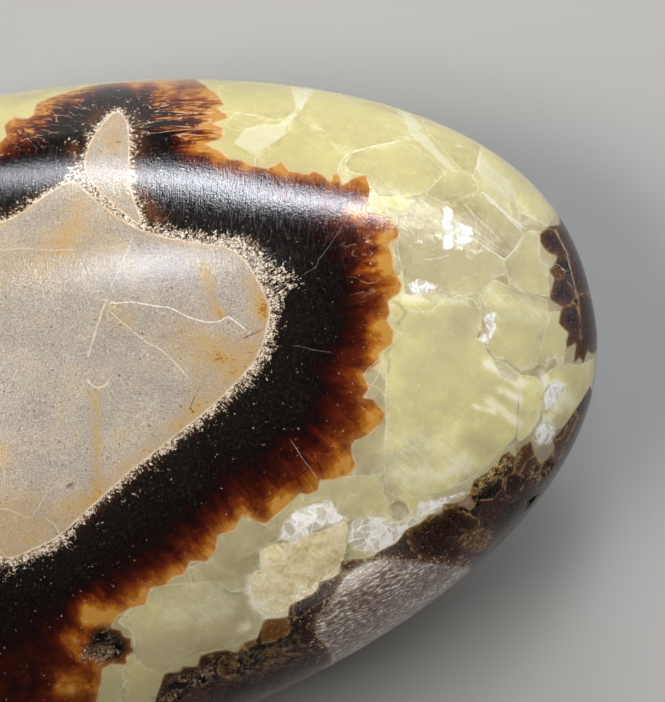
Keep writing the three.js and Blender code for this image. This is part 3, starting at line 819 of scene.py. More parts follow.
CRUST = [  # from, to, reach, strength of the pale golden crust between them
    ((34.2, -4.7), (36, -3), 0.6, 1.0),
    ((32.4, -6.1), (33.8, -5.2), 0.45, 0.9),
    ((37.8, -5.2), (38.8, -3.2), 0.6, 0.9),
    ((30.4, -7.2), (32.4, -6), 0.5, 0.7),
    ((26.4, -9.6), (30, -7.4), 0.4, 0.6),
    ((31.8, -10.4), (33.6, -10.4), 0.8, 0.5),
    ((12.4, -19.4), (14.4, -18.4), 0.35, 0.5),
    ((12, -21.4), (17.5, -19.6), 1.2, 0.3),
]
lump_in = np.full(len(skin), FAR_OUT)
lump_shade = np.zeros(len(skin))
for shade, outline in LUMPS:
    depth, _ = depth_inside(sketch, np.array(outline, float))
    nearer = (depth > lump_in) & on_crown
    lump_in[nearer] = depth[nearer]
    lump_shade[nearer] = shade
crust = soft_spots(CRUST)
print("stubby crystals:", len(LUMPS))

# %% [markdown]
# All of this goes onto the skin as attributes, named numbers that each point carries. Three numbers fit
# into one attribute, so they are kept in threes.

# %% Store it all on the skin
STORED = {
    "place": (sketch, height),
    "border": (block_in, rim_in, glow),
    "wall": (wall, height),
    "outwards": (outwards, np.zeros(len(skin))),
    "crystal_in": (crystal_in,),
    "crystal_tone": (crystal_tone,),
    "bright": (painted_reflection_in, frost_and_glint_in, vug_in),
    "hairline": (hair_side, hair_strength, hair_half_width),
    "soft": (stain, veil_and_painted_highlight, frosty),
    "kind": (earthy_here, dull_here, violet_here),
    "lump": (lump_in, lump_shade, crust),
    "patches": (shattered, warm, beige_in),
    "streaked": (streaked,),
}
for name, columns in STORED.items():
    values = np.column_stack(columns).astype(np.float32)
    kind, slot = ("FLOAT", "value") if values.shape[1] == 1 else ("FLOAT_VECTOR", "vector")
    mesh.attributes.new(name, kind, "POINT").data.foreach_set(slot, values.ravel())
print("stored:", [a.name for a in mesh.attributes if a.domain == "POINT"])

# %% [markdown]
# ## The material: what each point knows
#
# The stone is one material, made of nodes. One small function adds a node, sets it up, fills its
# sockets and gives its output, so that each pattern below reads as a list of steps. The second word
# of a node's kind is the setting that it is chosen by, such as what a Math node works out.

# %% Start the material
material = bpy.data.materials.new("polished septarian limestone, aragonite and calcite")
material.use_nodes = True
tree = material.node_tree
tree.nodes.clear()
CHOSEN_BY = {  # the property that the second word of a node's kind sets
    "Attribute": "attribute_name",
    "Mapping": "vector_type",
    "Math": "operation",
    "Mix": "data_type",
    "VectorMath": "operation",
}


def add(kind, *values, named=None, give=0, stops=(), **settings):
    """Adds a node, such as a "Math ADD", fills its sockets in order or by name, and gives an output."""
    kind, _, choice = kind.partition(" ")
    node = tree.nodes.new("ShaderNode" + kind)
    if choice:
        settings[CHOSEN_BY[kind]] = choice
    for name, value in settings.items():
        setattr(node, name, value)
    if stops:
        ramp = node.color_ramp.elements
        ramp.remove(ramp[1])
        ramp[0].position = stops[0][0]
        ramp[0].color = linear(stops[0][1])
        for position, colour in stops[1:]:
            ramp.new(position).color = linear(colour)
    fills = list(zip([socket for socket in node.inputs if socket.enabled], values))
    fills += [(node.inputs[name], value) for name, value in (named or {}).items()]
    for socket, value in fills:
        if isinstance(value, bpy.types.NodeSocket):
            tree.links.new(value, socket)
        else:
            socket.default_value = linear(value) if isinstance(value, str) else value
    if isinstance(give, str):
        return node.outputs[give]
    return [socket for socket in node.outputs if socket.enabled][give]

# %% [markdown]
# The stored numbers come back as sockets first. They are in millimetres, so the size of each pattern
# below is a real size in millimetres too.


# %% Read the stored numbers
def three(name):
    """The three numbers that the skin keeps under a name."""
    return add("SeparateXYZ", add("Attribute " + name, give="Vector")).node.outputs


place = add("Attribute place", give="Vector")
wall_place = add("Attribute wall", give="Vector")
away_from_wall = add("Attribute outwards", give="Vector")
streaky = add("Attribute streaked", give="Fac")
block_depth, rim_depth, tip_glow = three("border")
crystal_depths = three("crystal_in")
crystal_tones = three("crystal_tone")
painted_reflection_depth, frost_and_glint_depth, vug = three("bright")
hair_distance, hair_shown, hair_half = three("hairline")
stained, veil_and_painted_highlight, frosty_reach = three("soft")
earthy, dull, violet = three("kind")
lump_depth, lump_dark, crusted = three("lump")
broken_up, warmed, beige_depth = three("patches")
print("nodes that read the skin:", len(tree.nodes))

# %% [markdown]
# A few patterns serve all three minerals, so that the stone's grain is of one kind. A noise takes a
# place, a scale, a detail and a roughness. A scale of one over a size gives features of that size.

# %% Patterns that the minerals share
GRAIN_MM = 0.13
CRUMB_MM = 0.27
RAGGED_MM = 0.75
MOTTLE_MM = 3.6
DOT_MM = 0.75


def blend(first, second, weight):
    """Two patterns laid over each other: this much of the first, and the rest of the second."""
    return add("Math MULTIPLY_ADD", first, weight, add("Math MULTIPLY", second, 1 - weight))


grain = add("TexNoise", place, 1 / GRAIN_MM, 2.0, 0.6)
crumb = add("TexNoise", place, 1 / CRUMB_MM, 3.0, 0.7)
ragged = add("TexNoise", place, 1 / RAGGED_MM, 3.0, 0.65)
mottle = add("TexNoise", place, 1 / MOTTLE_MM, 4.0, 0.6)
uneven = add("Math ADD", ragged, -0.5)
dots = add("TexVoronoi", place, 1 / DOT_MM)
dots = add("MapRange", add("Math SUBTRACT", add("MapRange", crumb, 0.36, 0.64, 0.0, 0.17), dots), -0.02, 0.03)
print("nodes with the shared patterns:", len(tree.nodes))

# %% [markdown]
# ## Limestone
#
# The blocks are a hard muddy limestone, a carbonate mudstone: fawn grey, very fine grained, with dark
# specks and yellow ochre iron stain. A mudstone's grain is some 0.05 mm, which is finer than a render
# shows, so it is drawn at 0.13 mm here. The block near the narrow end holds more clay: it is a darker
# brown grey, with small pale streaks that lie along its bedding. The brightest of them, near white, are
# painted glints.

# %% Limestone finish
OCHRE = "#B59358"

lime = add("ValToRGB", mottle, stops=[(0.3, "#9B8F81"), (0.5, "#A79B8D"), (0.7, "#B5A999")])
patchy = add("Math ADD", mottle, add("Math MULTIPLY", uneven, 0.6))
lime = add("Mix RGBA", add("MapRange", patchy, 0.52, 0.72, 0.0, 0.4), lime, "#B59B6C")
lime = add("Mix RGBA", add("MapRange", grain, 0.53, 0.68, 0.0, 0.6), lime, "#D2C8B8")
lime = add("Mix RGBA", add("MapRange", grain, 0.46, 0.31, 0.0, 0.7), lime, "#716556")
lime = add("Mix RGBA", add("Math MULTIPLY", dots, 0.8), lime, "#4E3D2B")
lime = add("Mix RGBA", add("MapRange", crumb, 0.66, 0.72, 0.0, 0.45), lime, "#DED2BE")

stain_change = add("MapRange", patchy, 0.32, 0.68, 0.45, 1.3)
edge_stain = add("MapRange", block_depth, 1.3, 0.0, -0.3, 0.42)
stain_all = add("Math MULTIPLY", add("Math MAXIMUM", stained, edge_stain), stain_change)
lime = add("Mix RGBA", add("Math MULTIPLY", stain_all, 0.72, use_clamp=True), lime, OCHRE)
rust = add("Math ADD", add("Math MULTIPLY", crumb, 0.9), add("Math MULTIPLY", stain_all, 0.16))
lime = add("Mix RGBA", add("MapRange", rust, 0.69, 0.76, 0.0, 0.7), lime, "#8A4A1C")

BEDDING = math.radians(12)
FLECK_MM = (0.7, 0.28, 0.28)  # along the bedding and across it
bedding = add("Mapping TEXTURE", place, named={"Rotation": (0.0, 0.0, BEDDING), "Scale": FLECK_MM})
flecks = add("TexNoise", bedding, 1.0, 4.0, 0.75)
clay_light = blend(flecks, mottle, 0.8)
# The near-white top of this ramp paints glints on the pale streaks: a painted highlight.
clay_and_painted_glints = add("ValToRGB", clay_light, stops=[
    (0.38, "#382B22"), (0.45, "#766559"), (0.53, "#97867A"), (0.575, "#D6CABE"), (0.62, "#FFFDFA"),
])
lime = add("Mix RGBA", earthy, lime, clay_and_painted_glints)
print("nodes with the limestone:", len(tree.nodes))

# %% [markdown]
# ## Aragonite
#
# The brown rims are aragonite: needles and blades that grew straight out from the limestone wall, side
# by side, and ended in pointed teeth. Close to the wall they are nearly black with included clay, and
# towards the tips they clear to red brown and amber. To draw blades that follow the wall, the pattern's
# coordinates are the nearest place on the wall and the distance from it, so a noise that is short along
# the wall and long away from it turns into fibres.

# %% Aragonite fibres
FAN_MM = 3.0  # how far out the fans are measured, so that they spread round a block's corners
FIBRES = {  # width and length
    "needle": (0.13, 1.3),
    "fibre": (0.34, 3.0),
    "lath": (0.95, 6.0),
    "blade": (1.7, 8.0),
}

distance_out = add("Math MAXIMUM", add("Math MULTIPLY", block_depth, -1.0), 0.0)
fan = add("VectorMath MULTIPLY_ADD", away_from_wall, (FAN_MM,) * 3, wall_place)
along_fibres = {}
for name, (wide, long) in FIBRES.items():
    sideways = add("VectorMath SCALE", fan, 1 / wide)
    run = add("Math MULTIPLY", distance_out, 1 / long)
    onwards = add("VectorMath SCALE", away_from_wall, run)
    along_fibres[name] = add("VectorMath ADD", sideways, onwards)
needle = add("TexNoise", along_fibres["needle"], 1.0, 2.0, 0.6)
fibre = add("TexNoise", along_fibres["fibre"], 1.0, 2.0, 0.6)
lath = add("TexNoise", along_fibres["lath"], 1.0, 1.0, 0.5)
blade = add("SeparateXYZ", add("TexVoronoi", along_fibres["blade"], 1.0, give="Color"))
print("nodes with the fibres:", len(tree.nodes))

# %% [markdown]
# The colour follows the share of the way from the wall to the tips. Blades differ in how soon they
# clear, so the fibre patterns move that share to and fro. Where blades differ most, thin pale seams
# show between them.

# %% Aragonite blades
rim_edge = add("Math MULTIPLY_ADD", uneven, 0.24, rim_depth)
rim_here = add("Math MAXIMUM", rim_edge, 0.0)
share = add("Math DIVIDE", distance_out, add("Math ADD", distance_out, rim_here))
share = add("Math ADD", share, -0.1)
for pattern, weight in ((fibre, 0.14), (lath, 0.26), (mottle, 0.42), (blade, 0.07), (ragged, 0.16)):
    share = add("Math MULTIPLY_ADD", add("Math ADD", pattern, -0.5), weight, share)
share = add("Math MULTIPLY_ADD", tip_glow, 0.16, share)
one_blade = add("Math MULTIPLY_ADD", add("Math ADD", blend(lath, fibre, 0.35), -0.5), 1.5, 0.1)
share = add("Math MULTIPLY_ADD", streaky, one_blade, share)
brown = add("ValToRGB", share, stops=[
    (0.0, "#130F0C"), (0.42, "#0A0605"), (0.55, "#170503"), (0.66, "#310B04"), (0.77, "#521B08"),
    (0.87, "#7A390C"), (0.95, "#A0601A"), (1.0, "#B88238"),
])
dusky = add("Math MULTIPLY", add("MapRange", crumb, 0.48, 0.66, 0.0, 0.4), add("MapRange", share, 0.62, 0.35))
brown = add("Mix RGBA", dusky, brown, "#35281F")
seam = add("Math ABSOLUTE", add("Math ADD", lath, -0.52))
seam = add("Math MULTIPLY", add("MapRange", seam, 0.03, 0.008), add("MapRange", ragged, 0.42, 0.56))
seam = add("Math MULTIPLY", seam, add("Math MULTIPLY", streaky, 0.75), use_clamp=True)
brown = add("Mix RGBA", seam, brown, "#D2AE84")
clear_flaws = add("MapRange", share, 0.7, 0.95, 0.0, 0.35)
clear_flaws = add("Math MULTIPLY", add("MapRange", crumb, 0.6, 0.7), clear_flaws)
brown = add("Mix RGBA", clear_flaws, brown, "#D9A46A")
print("nodes with the blades:", len(tree.nodes))

# %% [markdown]
# The rims of the clay-rich block and of the far end are duller: a crowd of stubby violet-brown crystals
# with a pale golden crust between some of them. They share one cell pattern with the facets of the
# calcite, which is drawn coarser there, because a point is never in both.

# %% Dull rims
LUMP_MM = 2.3
FACET_MM = 3.4
BEND_MM = 2.2
BENT_BY_MM = 1.6

in_rim = add("MapRange", rim_edge, -0.04, 0.04)
bend = add("TexNoise", place, 1 / BEND_MM, 2.0, 0.6, give="Color")
bend = add("VectorMath SUBTRACT", bend, (0.5, 0.5, 0.5))
bent_place = add("VectorMath MULTIPLY_ADD", bend, (BENT_BY_MM,) * 3, place)
coarser = add("MapRange", in_rim, 0.0, 1.0, LUMP_MM / FACET_MM, 1.0)
cell_place = add("VectorMath SCALE", bent_place, coarser)
lump = add("SeparateXYZ", add("TexVoronoi", cell_place, 1 / LUMP_MM, give="Color"))
lump_edge = add("TexVoronoi", cell_place, 1 / LUMP_MM, feature="DISTANCE_TO_EDGE")
stubby = add("Math MULTIPLY_ADD", add("Math ADD", mottle, -0.5), 0.6, lump)
umber = add("ValToRGB", stubby, stops=[
    (0.1, "#0D0807"), (0.45, "#1C1110"), (0.75, "#2D1B17"), (0.95, "#46291E"),
])
mauve = add("ValToRGB", stubby, stops=[
    (0.1, "#130D0F"), (0.45, "#271B20"), (0.7, "#3B2C31"), (0.95, "#52403F"),
])
umber = add("Mix RGBA", violet, umber, mauve)
here_and_there = add("MapRange", ragged, 0.46, 0.62, 0.0, 0.3)
between_lumps = add("Math MULTIPLY", add("MapRange", lump_edge, 0.05, 0.0), here_and_there)
umber = add("Mix RGBA", between_lumps, umber, "#8E7250")
print("nodes with the stubby crystals:", len(tree.nodes))

# %% [markdown]
# The drawn crystals lie over the cell pattern. Each has a lit edge, a pale seam round it and a grain of
# its own, and the crust goes on top.

# %% Drawn crystals and crust of the dull rims
lump_reach = add("Math MULTIPLY_ADD", uneven, 0.45, lump_depth)
lump_grain = blend(ragged, blend(mottle, crumb, 0.5), 0.5)
lump_tone = add("Math MULTIPLY_ADD", add("Math ADD", lump_grain, -0.5), 0.8, lump_dark)
drawn_lump = add("ValToRGB", lump_tone, stops=[
    (0.0, "#100A08"), (0.2, "#190F0C"), (0.36, "#2E150B"), (0.5, "#2F2224"), (0.6, "#48393B"),
    (0.68, "#4C3822"), (0.78, "#74471A"), (1.0, "#A08A7C"),
])
lit_rim = add("MapRange", lump_reach, 0.6, 0.05, 0.0, 0.5)
lit_rim = add("Math MULTIPLY", lit_rim, add("MapRange", lump_dark, 0.2, 0.36))
lit_rim = add("Math MULTIPLY", lit_rim, add("MapRange", violet, 0.0, 1.0, 1.0, 0.35))
drawn_lump = add("Mix RGBA", lit_rim, drawn_lump, "#744518")
umber = add("Mix RGBA", add("MapRange", lump_reach, -0.05, 0.07), umber, drawn_lump)
lump_border = add("Math ABSOLUTE", lump_reach)
lump_border = add("MapRange", lump_border, 0.14, 0.0)
lump_border = add("Math MULTIPLY", lump_border, add("MapRange", ragged, 0.42, 0.58, 0.0, 0.8))
umber = add("Mix RGBA", lump_border, umber, "#A8865A")
crust_tint = add("ValToRGB", crumb, stops=[(0.35, "#4E3620"), (0.5, "#9C7A46"), (0.64, "#DCC794")])
crusting = add("Math MULTIPLY", crusted, add("MapRange", ragged, 0.42, 0.56, 0.0, 1.2), use_clamp=True)
umber = add("Mix RGBA", crusting, umber, crust_tint)
umber = add("Mix RGBA", add("MapRange", flecks, 0.6, 0.7, 0.0, 0.55), umber, "#B0A29A")
umber = add("Mix RGBA", add("MapRange", grain, 0.6, 0.72, 0.0, 0.35), umber, "#8E7F78")
brown = add("Mix RGBA", dull, brown, umber)
print("nodes with the dull rims:", len(tree.nodes))

# %% [markdown]
# Against the wall stands a frosty fringe, where the first needles are so thick that they are cream. It
# is a solid line at the wall, breaks up into needles and crumbs and ends in scattered flakes. The
# needles between are warm brown before they blacken.

# %% Frosty fringe and crumbs
WALL_LINE_MM = 0.17

near_wall = add("MapRange", distance_out, 1.2, 0.1, 0.0, 0.4)
warm_wall = add("Math MULTIPLY", warmed, add("MapRange", distance_out, 2.6, 0.6))
near_wall = add("Math MAXIMUM", near_wall, warm_wall)
near_wall = add("Math MULTIPLY", near_wall, add("MapRange", needle, 0.34, 0.6, 0.15, 1.0), use_clamp=True)
brown = add("Mix RGBA", near_wall, brown, "#7A4620")
needle_reach = add("Math MULTIPLY", frosty_reach, add("MapRange", needle, 0.4, 0.72, 0.0, 2.4))
needles = add("MapRange", add("Math SUBTRACT", needle_reach, distance_out), -0.03, 0.1)
thinning = add("Math DIVIDE", distance_out, add("Math MULTIPLY", frosty_reach, 2.4), use_clamp=True)
crumbs = add("Math MULTIPLY_ADD", thinning, -0.22, blend(crumb, ragged, 0.5))
fringe = add("Math MAXIMUM", add("MapRange", crumbs, 0.42, 0.46), add("Math MULTIPLY", needles, 0.9))
bright_wall = add("MapRange", add("Math ADD", earthy, dull), 0.0, 1.0, 1.0, 0.25)
fringe = add("Math MULTIPLY", fringe, bright_wall)
fringe_light = add("Math MULTIPLY_ADD", thinning, -0.05, blend(crumb, grain, 0.5))
fringe_tint = add("ValToRGB", fringe_light, stops=[
    (0.39, "#3A2D24"), (0.45, "#83705A"), (0.51, "#BEAC92"), (0.58, "#E9DCCA"),
])
brown = add("Mix RGBA", add("Math MULTIPLY", fringe, 0.95), brown, fringe_tint)
clumps = blend(crumb, blend(ragged, mottle, 0.6), 0.4)
clumps = add("Math ADD", clumps, add("MapRange", distance_out, 0.3, 5.0, 0.045, -0.09))
brown = add("Mix RGBA", add("MapRange", clumps, 0.575, 0.62, 0.0, 0.75), brown, fringe_tint)
scattered = add("Math MULTIPLY", dots, add("MapRange", mottle, 0.46, 0.58, 0.0, 0.5))
brown = add("Mix RGBA", scattered, brown, "#B99E84")
wall_line = add("Math MULTIPLY", add("MapRange", distance_out, WALL_LINE_MM, WALL_LINE_MM / 2), bright_wall)
wall_tint = add("Mix RGBA", add("MapRange", ragged, 0.4, 0.6), "#C2A27E", "#E2D0B6")
brown = add("Mix RGBA", wall_line, brown, wall_tint)
bright_tip = add("MapRange", dull, 0.0, 1.0, 1.0, 0.4)
tip_haze = add("Math MULTIPLY", add("MapRange", rim_edge, 0.8, 0.0, 0.0, 0.3), bright_tip)
brown = add("Mix RGBA", tip_haze, brown, "#B48A4C")
tooth_edge = add("MapRange", ragged, 0.38, 0.6, 0.15, 0.85)
tooth_edge = add("Math MULTIPLY", add("MapRange", rim_edge, 0.17, 0.03), tooth_edge)
brown = add("Mix RGBA", add("Math MULTIPLY", tooth_edge, bright_tip), brown, "#E0BE96")
print("nodes with the fringe:", len(tree.nodes))

# %% [markdown]
# ## Calcite
#
# The yellow filling is sparry calcite, clear to cloudy, coloured by a trace of iron. It is soft but
# takes a glassy polish. Light goes some millimetres into it and comes out again, which subsurface
# scattering gives. The three sheets of drawn crystals are laid over a cell pattern, each with its pale
# border.

# %% Calcite crystals
CRYSTAL_MM = 9.0
WARPED_BY_MM = 4.0
LINE_MM = 0.065
HALO_MM = 0.9  # light is caught or lost this deep behind a crystal's border

warped = add("VectorMath MULTIPLY_ADD", bend, (WARPED_BY_MM,) * 3, place)
cell_edge = add("TexVoronoi", warped, 1 / CRYSTAL_MM, feature="DISTANCE_TO_EDGE")
one_cell = add("SeparateXYZ", add("TexVoronoi", warped, 1 / CRYSTAL_MM, give="Color"))
tone = add("MapRange", one_cell, 0.0, 1.0, 0.4, 0.72)
line = add("MapRange", cell_edge, LINE_MM / CRYSTAL_MM, 0.0, 0.0, 0.6)
halo = add("MapRange", cell_edge, HALO_MM / CRYSTAL_MM, 0.0)
for sheet in range(SHEETS):
    inside_mm = add("Math MULTIPLY_ADD", uneven, 0.16, crystal_depths[sheet])
    inside = add("MapRange", inside_mm, -0.04, 0.04)
    tone = add("Mix FLOAT", inside, tone, crystal_tones[sheet])
    halo = add("Mix FLOAT", inside, halo, add("MapRange", inside_mm, HALO_MM, 0.0))
    off_line = add("Math ABSOLUTE", inside_mm)
    line = add("Mix FLOAT", inside, line, 0.0)
    line = add("Math MAXIMUM", line, add("MapRange", off_line, LINE_MM, 0.0, 0.0, 0.55))
print("nodes with the crystals:", len(tree.nodes))

# %% [markdown]
# Each crystal gets clouds of its own, by shifting the noise by the crystal's tone. How light the calcite
# is follows from the tone and the clouds. Just inside a border it is painted as catching or losing light,
# and near the brown rims it is painted a little darker: partly the brown seen through the clear calcite,
# partly painted shade.

# %% Clouds and colour of the calcite
FAR_APART = (37.0, 91.0, 53.0)  # moves each crystal's clouds far from the next crystal's
CLOUD_MM = 5.5
WISP_MM = 1.3

shift = add("VectorMath SCALE", FAR_APART, tone)
own_place = add("VectorMath ADD", place, shift)
cloud = add("TexNoise", own_place, 1 / CLOUD_MM, 4.0, 0.55)
wisps = add("TexNoise", own_place, 1 / WISP_MM, 5.0, 0.72)
lightness = tone
for pattern, weight in ((cloud, 0.7), (lump, 0.08), (wisps, 0.32)):
    lightness = add("Math MULTIPLY_ADD", add("Math ADD", pattern, -0.5), weight, lightness)
lightness = add("Math MULTIPLY_ADD", veil_and_painted_highlight, 0.35, lightness)
spar = add("ValToRGB", lightness, stops=[
    (0.1, "#857A60"), (0.35, "#A69873"), (0.55, "#BAAE86"), (0.72, "#C6BC8A"), (0.88, "#DACF8F"),
    (1.0, "#ECE4B6"),
])
halo = add("Math POWER", halo, 2.0)
caught_light = add("Math MULTIPLY", halo, add("MapRange", wisps, 0.45, 0.66, 0.0, 0.7))
spar = add("Mix RGBA", caught_light, spar, "#E3DDBE")
lost_light = add("Math MULTIPLY", halo, add("MapRange", cloud, 0.5, 0.4, 0.0, 0.4))
spar = add("Mix RGBA", lost_light, spar, "#7E7655")
# Painted a little darker near the brown rims: partly the brown seen through the calcite, partly painted
# shade.
spar = add("Mix RGBA", add("MapRange", rim_edge, -1.6, -0.1, 0.0, 0.18), spar, "#A79670")
bright_dots = add("Math MULTIPLY", dots, add("MapRange", wisps, 0.48, 0.62, 0.0, 0.6))
spar = add("Mix RGBA", bright_dots, spar, "#F3EED2")
print("nodes with the clouds:", len(tree.nodes))

# %% [markdown]
# Calcite splits along flat cleavage planes. A plane inside a crystal that happens to face the light
# shows as a bright sheet with fine straight steps, painted in here as pale colour: a painted reflection.
# The steps are a noise pressed narrow and drawn long, and the milky clouds, with the painted highlight
# among them, break up along them too. The calcite on the far side, where the strip lights the shoulder,
# is painted yellower and lighter: painted light.

# %% Cleavage and milk
STEP_MM = (0.2, 7.0, 7.0)  # width and length of the steps
STEPS_TURN = math.radians(50)

grooves = add("Mapping TEXTURE", place, named={"Rotation": (0.0, 0.0, STEPS_TURN), "Scale": STEP_MM})
steps_across = add("TexNoise", grooves, 1.0, 2.0, 0.7)
# The milky clouds, and the painted highlight among them, are painted pale here.
milk_and_painted_highlight = add("MapRange", blend(steps_across, wisps, 0.45), 0.4, 0.58, 0.05, 1.3)
milk_and_painted_highlight = add("Math MULTIPLY", veil_and_painted_highlight, milk_and_painted_highlight, use_clamp=True)
spar = add("Mix RGBA", add("Math MULTIPLY", milk_and_painted_highlight, 0.85), spar, "#EDE8D6")
faint_steps = add("MapRange", steps_across, 0.55, 0.72, 0.0, 0.22)
faint_steps = add("Math MULTIPLY", faint_steps, add("MapRange", cloud, 0.52, 0.64))
spar = add("Mix RGBA", faint_steps, spar, "#EAE3BF")
facet_line = add("MapRange", ragged, 0.5, 0.62, 0.0, 0.35)
facet_line = add("Math MULTIPLY", add("MapRange", lump_edge, 0.02, 0.0), facet_line)
spar = add("Mix RGBA", facet_line, spar, "#E9E2C0")
# Painted light: the calcite on the far side, which the strip lights, is painted yellower and lighter.
painted_far_light = add("MapRange", add("SeparateXYZ", place, give=1), 15.0, 25.0, 0.0, 0.5)
spar = add("Mix RGBA", painted_far_light, spar, "#FFFFBC", blend_type="MULTIPLY")
spar = add("Mix RGBA", add("Math MULTIPLY", painted_far_light, 0.5), spar, "#EADF98")
# Painted reflection: the cleavage planes are painted as pale sheets with steps.
painted_reflection_edge = add("Math MULTIPLY_ADD", uneven, 0.3, painted_reflection_depth)
painted_reflection_light = blend(steps_across, wisps, 0.3)
painted_reflection_tint = add("ValToRGB", painted_reflection_light, stops=[(0.35, "#B3AC87"), (0.62, "#C8C2A0")])
painted_reflection_tint = add("Mix RGBA", add("Math MULTIPLY", painted_far_light, 1.25), painted_reflection_tint, "#E7E3BE")
spar = add("Mix RGBA", add("MapRange", painted_reflection_edge, -0.04, 0.14, 0.0, 0.75), spar, painted_reflection_tint)
print("nodes with the cleavage:", len(tree.nodes))

# %% [markdown]
# Some of the calcite holds clay and is beige and lumpy. Where a crystal was crushed it is a heap of
# white-edged splinters, which a cell pattern gives: a shade for each splinter and a line round it. Two
# such patches lie in the strip's streak and stand for its glints there: a painted highlight.

# %% Beige lumps, crystal borders and frost
CHIP_MM = 0.8

beige_tint = add("ValToRGB", blend(wisps, crumb, 0.7), stops=[
    (0.36, "#BDA679"), (0.46, "#E2CD9F"), (0.56, "#F1E1BD"), (0.66, "#FCF7E9"),
])
beige_edge = add("Math MULTIPLY_ADD", uneven, 0.4, beige_depth)
beige_here = add("MapRange", beige_edge, -0.07, 0.07)
beige_here = add("Math MULTIPLY", beige_here, add("MapRange", veil_and_painted_highlight, 0.2, 1.0, 0.75, 0.4))
spar = add("Mix RGBA", beige_here, spar, beige_tint)
line = add("Math MULTIPLY", line, add("MapRange", ragged, 0.4, 0.6, 0.05, 1.0))
spar = add("Mix RGBA", line, spar, "#EDE7CC")

chip = add("SeparateXYZ", add("TexVoronoi", bent_place, 1 / CHIP_MM, give="Color"))
chip_edge = add("TexVoronoi", bent_place, 1 / CHIP_MM, feature="DISTANCE_TO_EDGE")
# The frost's white also paints two patches of glints in the strip's streak: a painted highlight.
frost_and_glint_edge = add("Math MULTIPLY_ADD", uneven, 0.7, frost_and_glint_depth)
frost_and_glint_here = add("MapRange", frost_and_glint_edge, -0.1, 0.12, 0.0, 0.95)
frosty_light = add("Math MULTIPLY_ADD", chip, 0.34, add("Math MULTIPLY", blend(crumb, wisps, 0.5), 0.78))
frost_and_glint_tint = add("ValToRGB", frosty_light, stops=[
    (0.38, "#C2B7A4"), (0.5, "#D7D0BE"), (0.6, "#E8E3D6"), (0.72, "#F8F5EE"),
])
white_edge = add("MapRange", chip_edge, 0.13, 0.02)
white_edge = add("Math MULTIPLY", white_edge, add("MapRange", ragged, 0.38, 0.58, 0.15, 1.0))
frost_and_glint_tint = add("Mix RGBA", white_edge, frost_and_glint_tint, "#FFFDF8")
spar = add("Mix RGBA", frost_and_glint_here, spar, frost_and_glint_tint)
print("nodes with all the calcite:", len(tree.nodes))

# %% [markdown]
# ## One skin from three minerals
#
# The three colours meet at sharp borders. The hairlines go on top, and the vugs are filled with dark
# crumbs, laid on more fully towards a vug's middle, which is partly painted shade in the hollow.

# %% Put the minerals together
block_edge = add("Math MULTIPLY_ADD", uneven, 0.18, block_depth)
in_block = add("MapRange", block_edge, -0.05, 0.05)
colour = add("Mix RGBA", in_rim, spar, brown)
colour = add("Mix RGBA", in_block, colour, lime)
hair_off = add("Math MULTIPLY_ADD", uneven, 0.14, hair_distance)
hair_off = add("Math ABSOLUTE", hair_off)
hair_mask = add("MapRange", add("Math DIVIDE", hair_off, hair_half), 1.3, 0.4)
hair_mask = add("Math MULTIPLY", hair_mask, hair_shown)
hair_mask = add("Math MULTIPLY", hair_mask, add("MapRange", crumb, 0.38, 0.52, 0.4, 1.0))
colour = add("Mix RGBA", add("Math MAXIMUM", hair_mask, 0.0), colour, "#EFE6D8")
colour = add("Mix RGBA", add("Math MAXIMUM", add("Math MULTIPLY", hair_mask, -1.0), 0.0), colour, "#54300F")
fuzz = add("Math MULTIPLY_ADD", uneven, 4.4, add("Math MULTIPLY_ADD", add("Math ADD", crumb, -0.5), 3.0, vug))
vug_mask = add("MapRange", fuzz, -0.3, 0.5, 0.0, 0.85)
# Dark crumbs in the vugs, partly painted shade in the hollow.
vug_crumbs_and_painted_shade = add("ValToRGB", blend(crumb, grain, 0.6), stops=[
    (0.36, "#24170F"), (0.45, "#563D2C"), (0.54, "#87705B"), (0.63, "#BFA586"),
])
colour = add("Mix RGBA", vug_mask, colour, vug_crumbs_and_painted_shade)
print("nodes with all colours:", len(tree.nodes))

# %% [markdown]
# The whole stone had the same polish, and to the eye it is wet and glassy. The limestone stays a little
# duller, because the wheel plucks grains out of it, and the wheel leaves fine marks across the stone's
# long axis. Shattered calcite and vugs are rougher. The crusty crystals of the dull rims hardly took the
# polish, so they mirror less: that is a lower specular level, while the rest keeps the usual one.

# %% Gloss
WHEEL_MARK_MM = (0.11, 0.9, 0.9)  # width and length
USUAL_SHINE = 0.5
CRUSTY_SHINE = 0.08

wheel_marks = add("Mapping TEXTURE", place, named={"Scale": WHEEL_MARK_MM})
wheel = add("TexNoise", wheel_marks, 1.0, 2.0, 0.65)
gloss = add("Mix FLOAT", in_rim, 0.12, 0.11)
gloss = add("Math ADD", gloss, add("MapRange", wheel, 0.5, 0.66, 0.0, 0.12))
chipped = add("Math MULTIPLY", broken_up, add("MapRange", lump, 0.35, 0.6, 0.05, 0.28))
clear = add("Math MULTIPLY", add("Math SUBTRACT", 1.0, in_rim), add("Math SUBTRACT", 1.0, in_block))
gloss = add("Math MULTIPLY_ADD", chipped, clear, gloss)
gloss = add("Mix FLOAT", in_block, gloss, add("MapRange", grain, 0.4, 0.6, 0.09, 0.18))
gloss = add("Math MAXIMUM", gloss, add("Math MULTIPLY", vug_mask, 0.8))
soft_light = add("Math MULTIPLY", clear, 0.35)
crusty = add("Math MULTIPLY", dull, add("Math MULTIPLY", in_rim, add("Math SUBTRACT", 1.0, in_block)))
shine = add("MapRange", crusty, 0.0, 1.0, USUAL_SHINE, CRUSTY_SHINE)
print("nodes with the gloss:", len(tree.nodes))

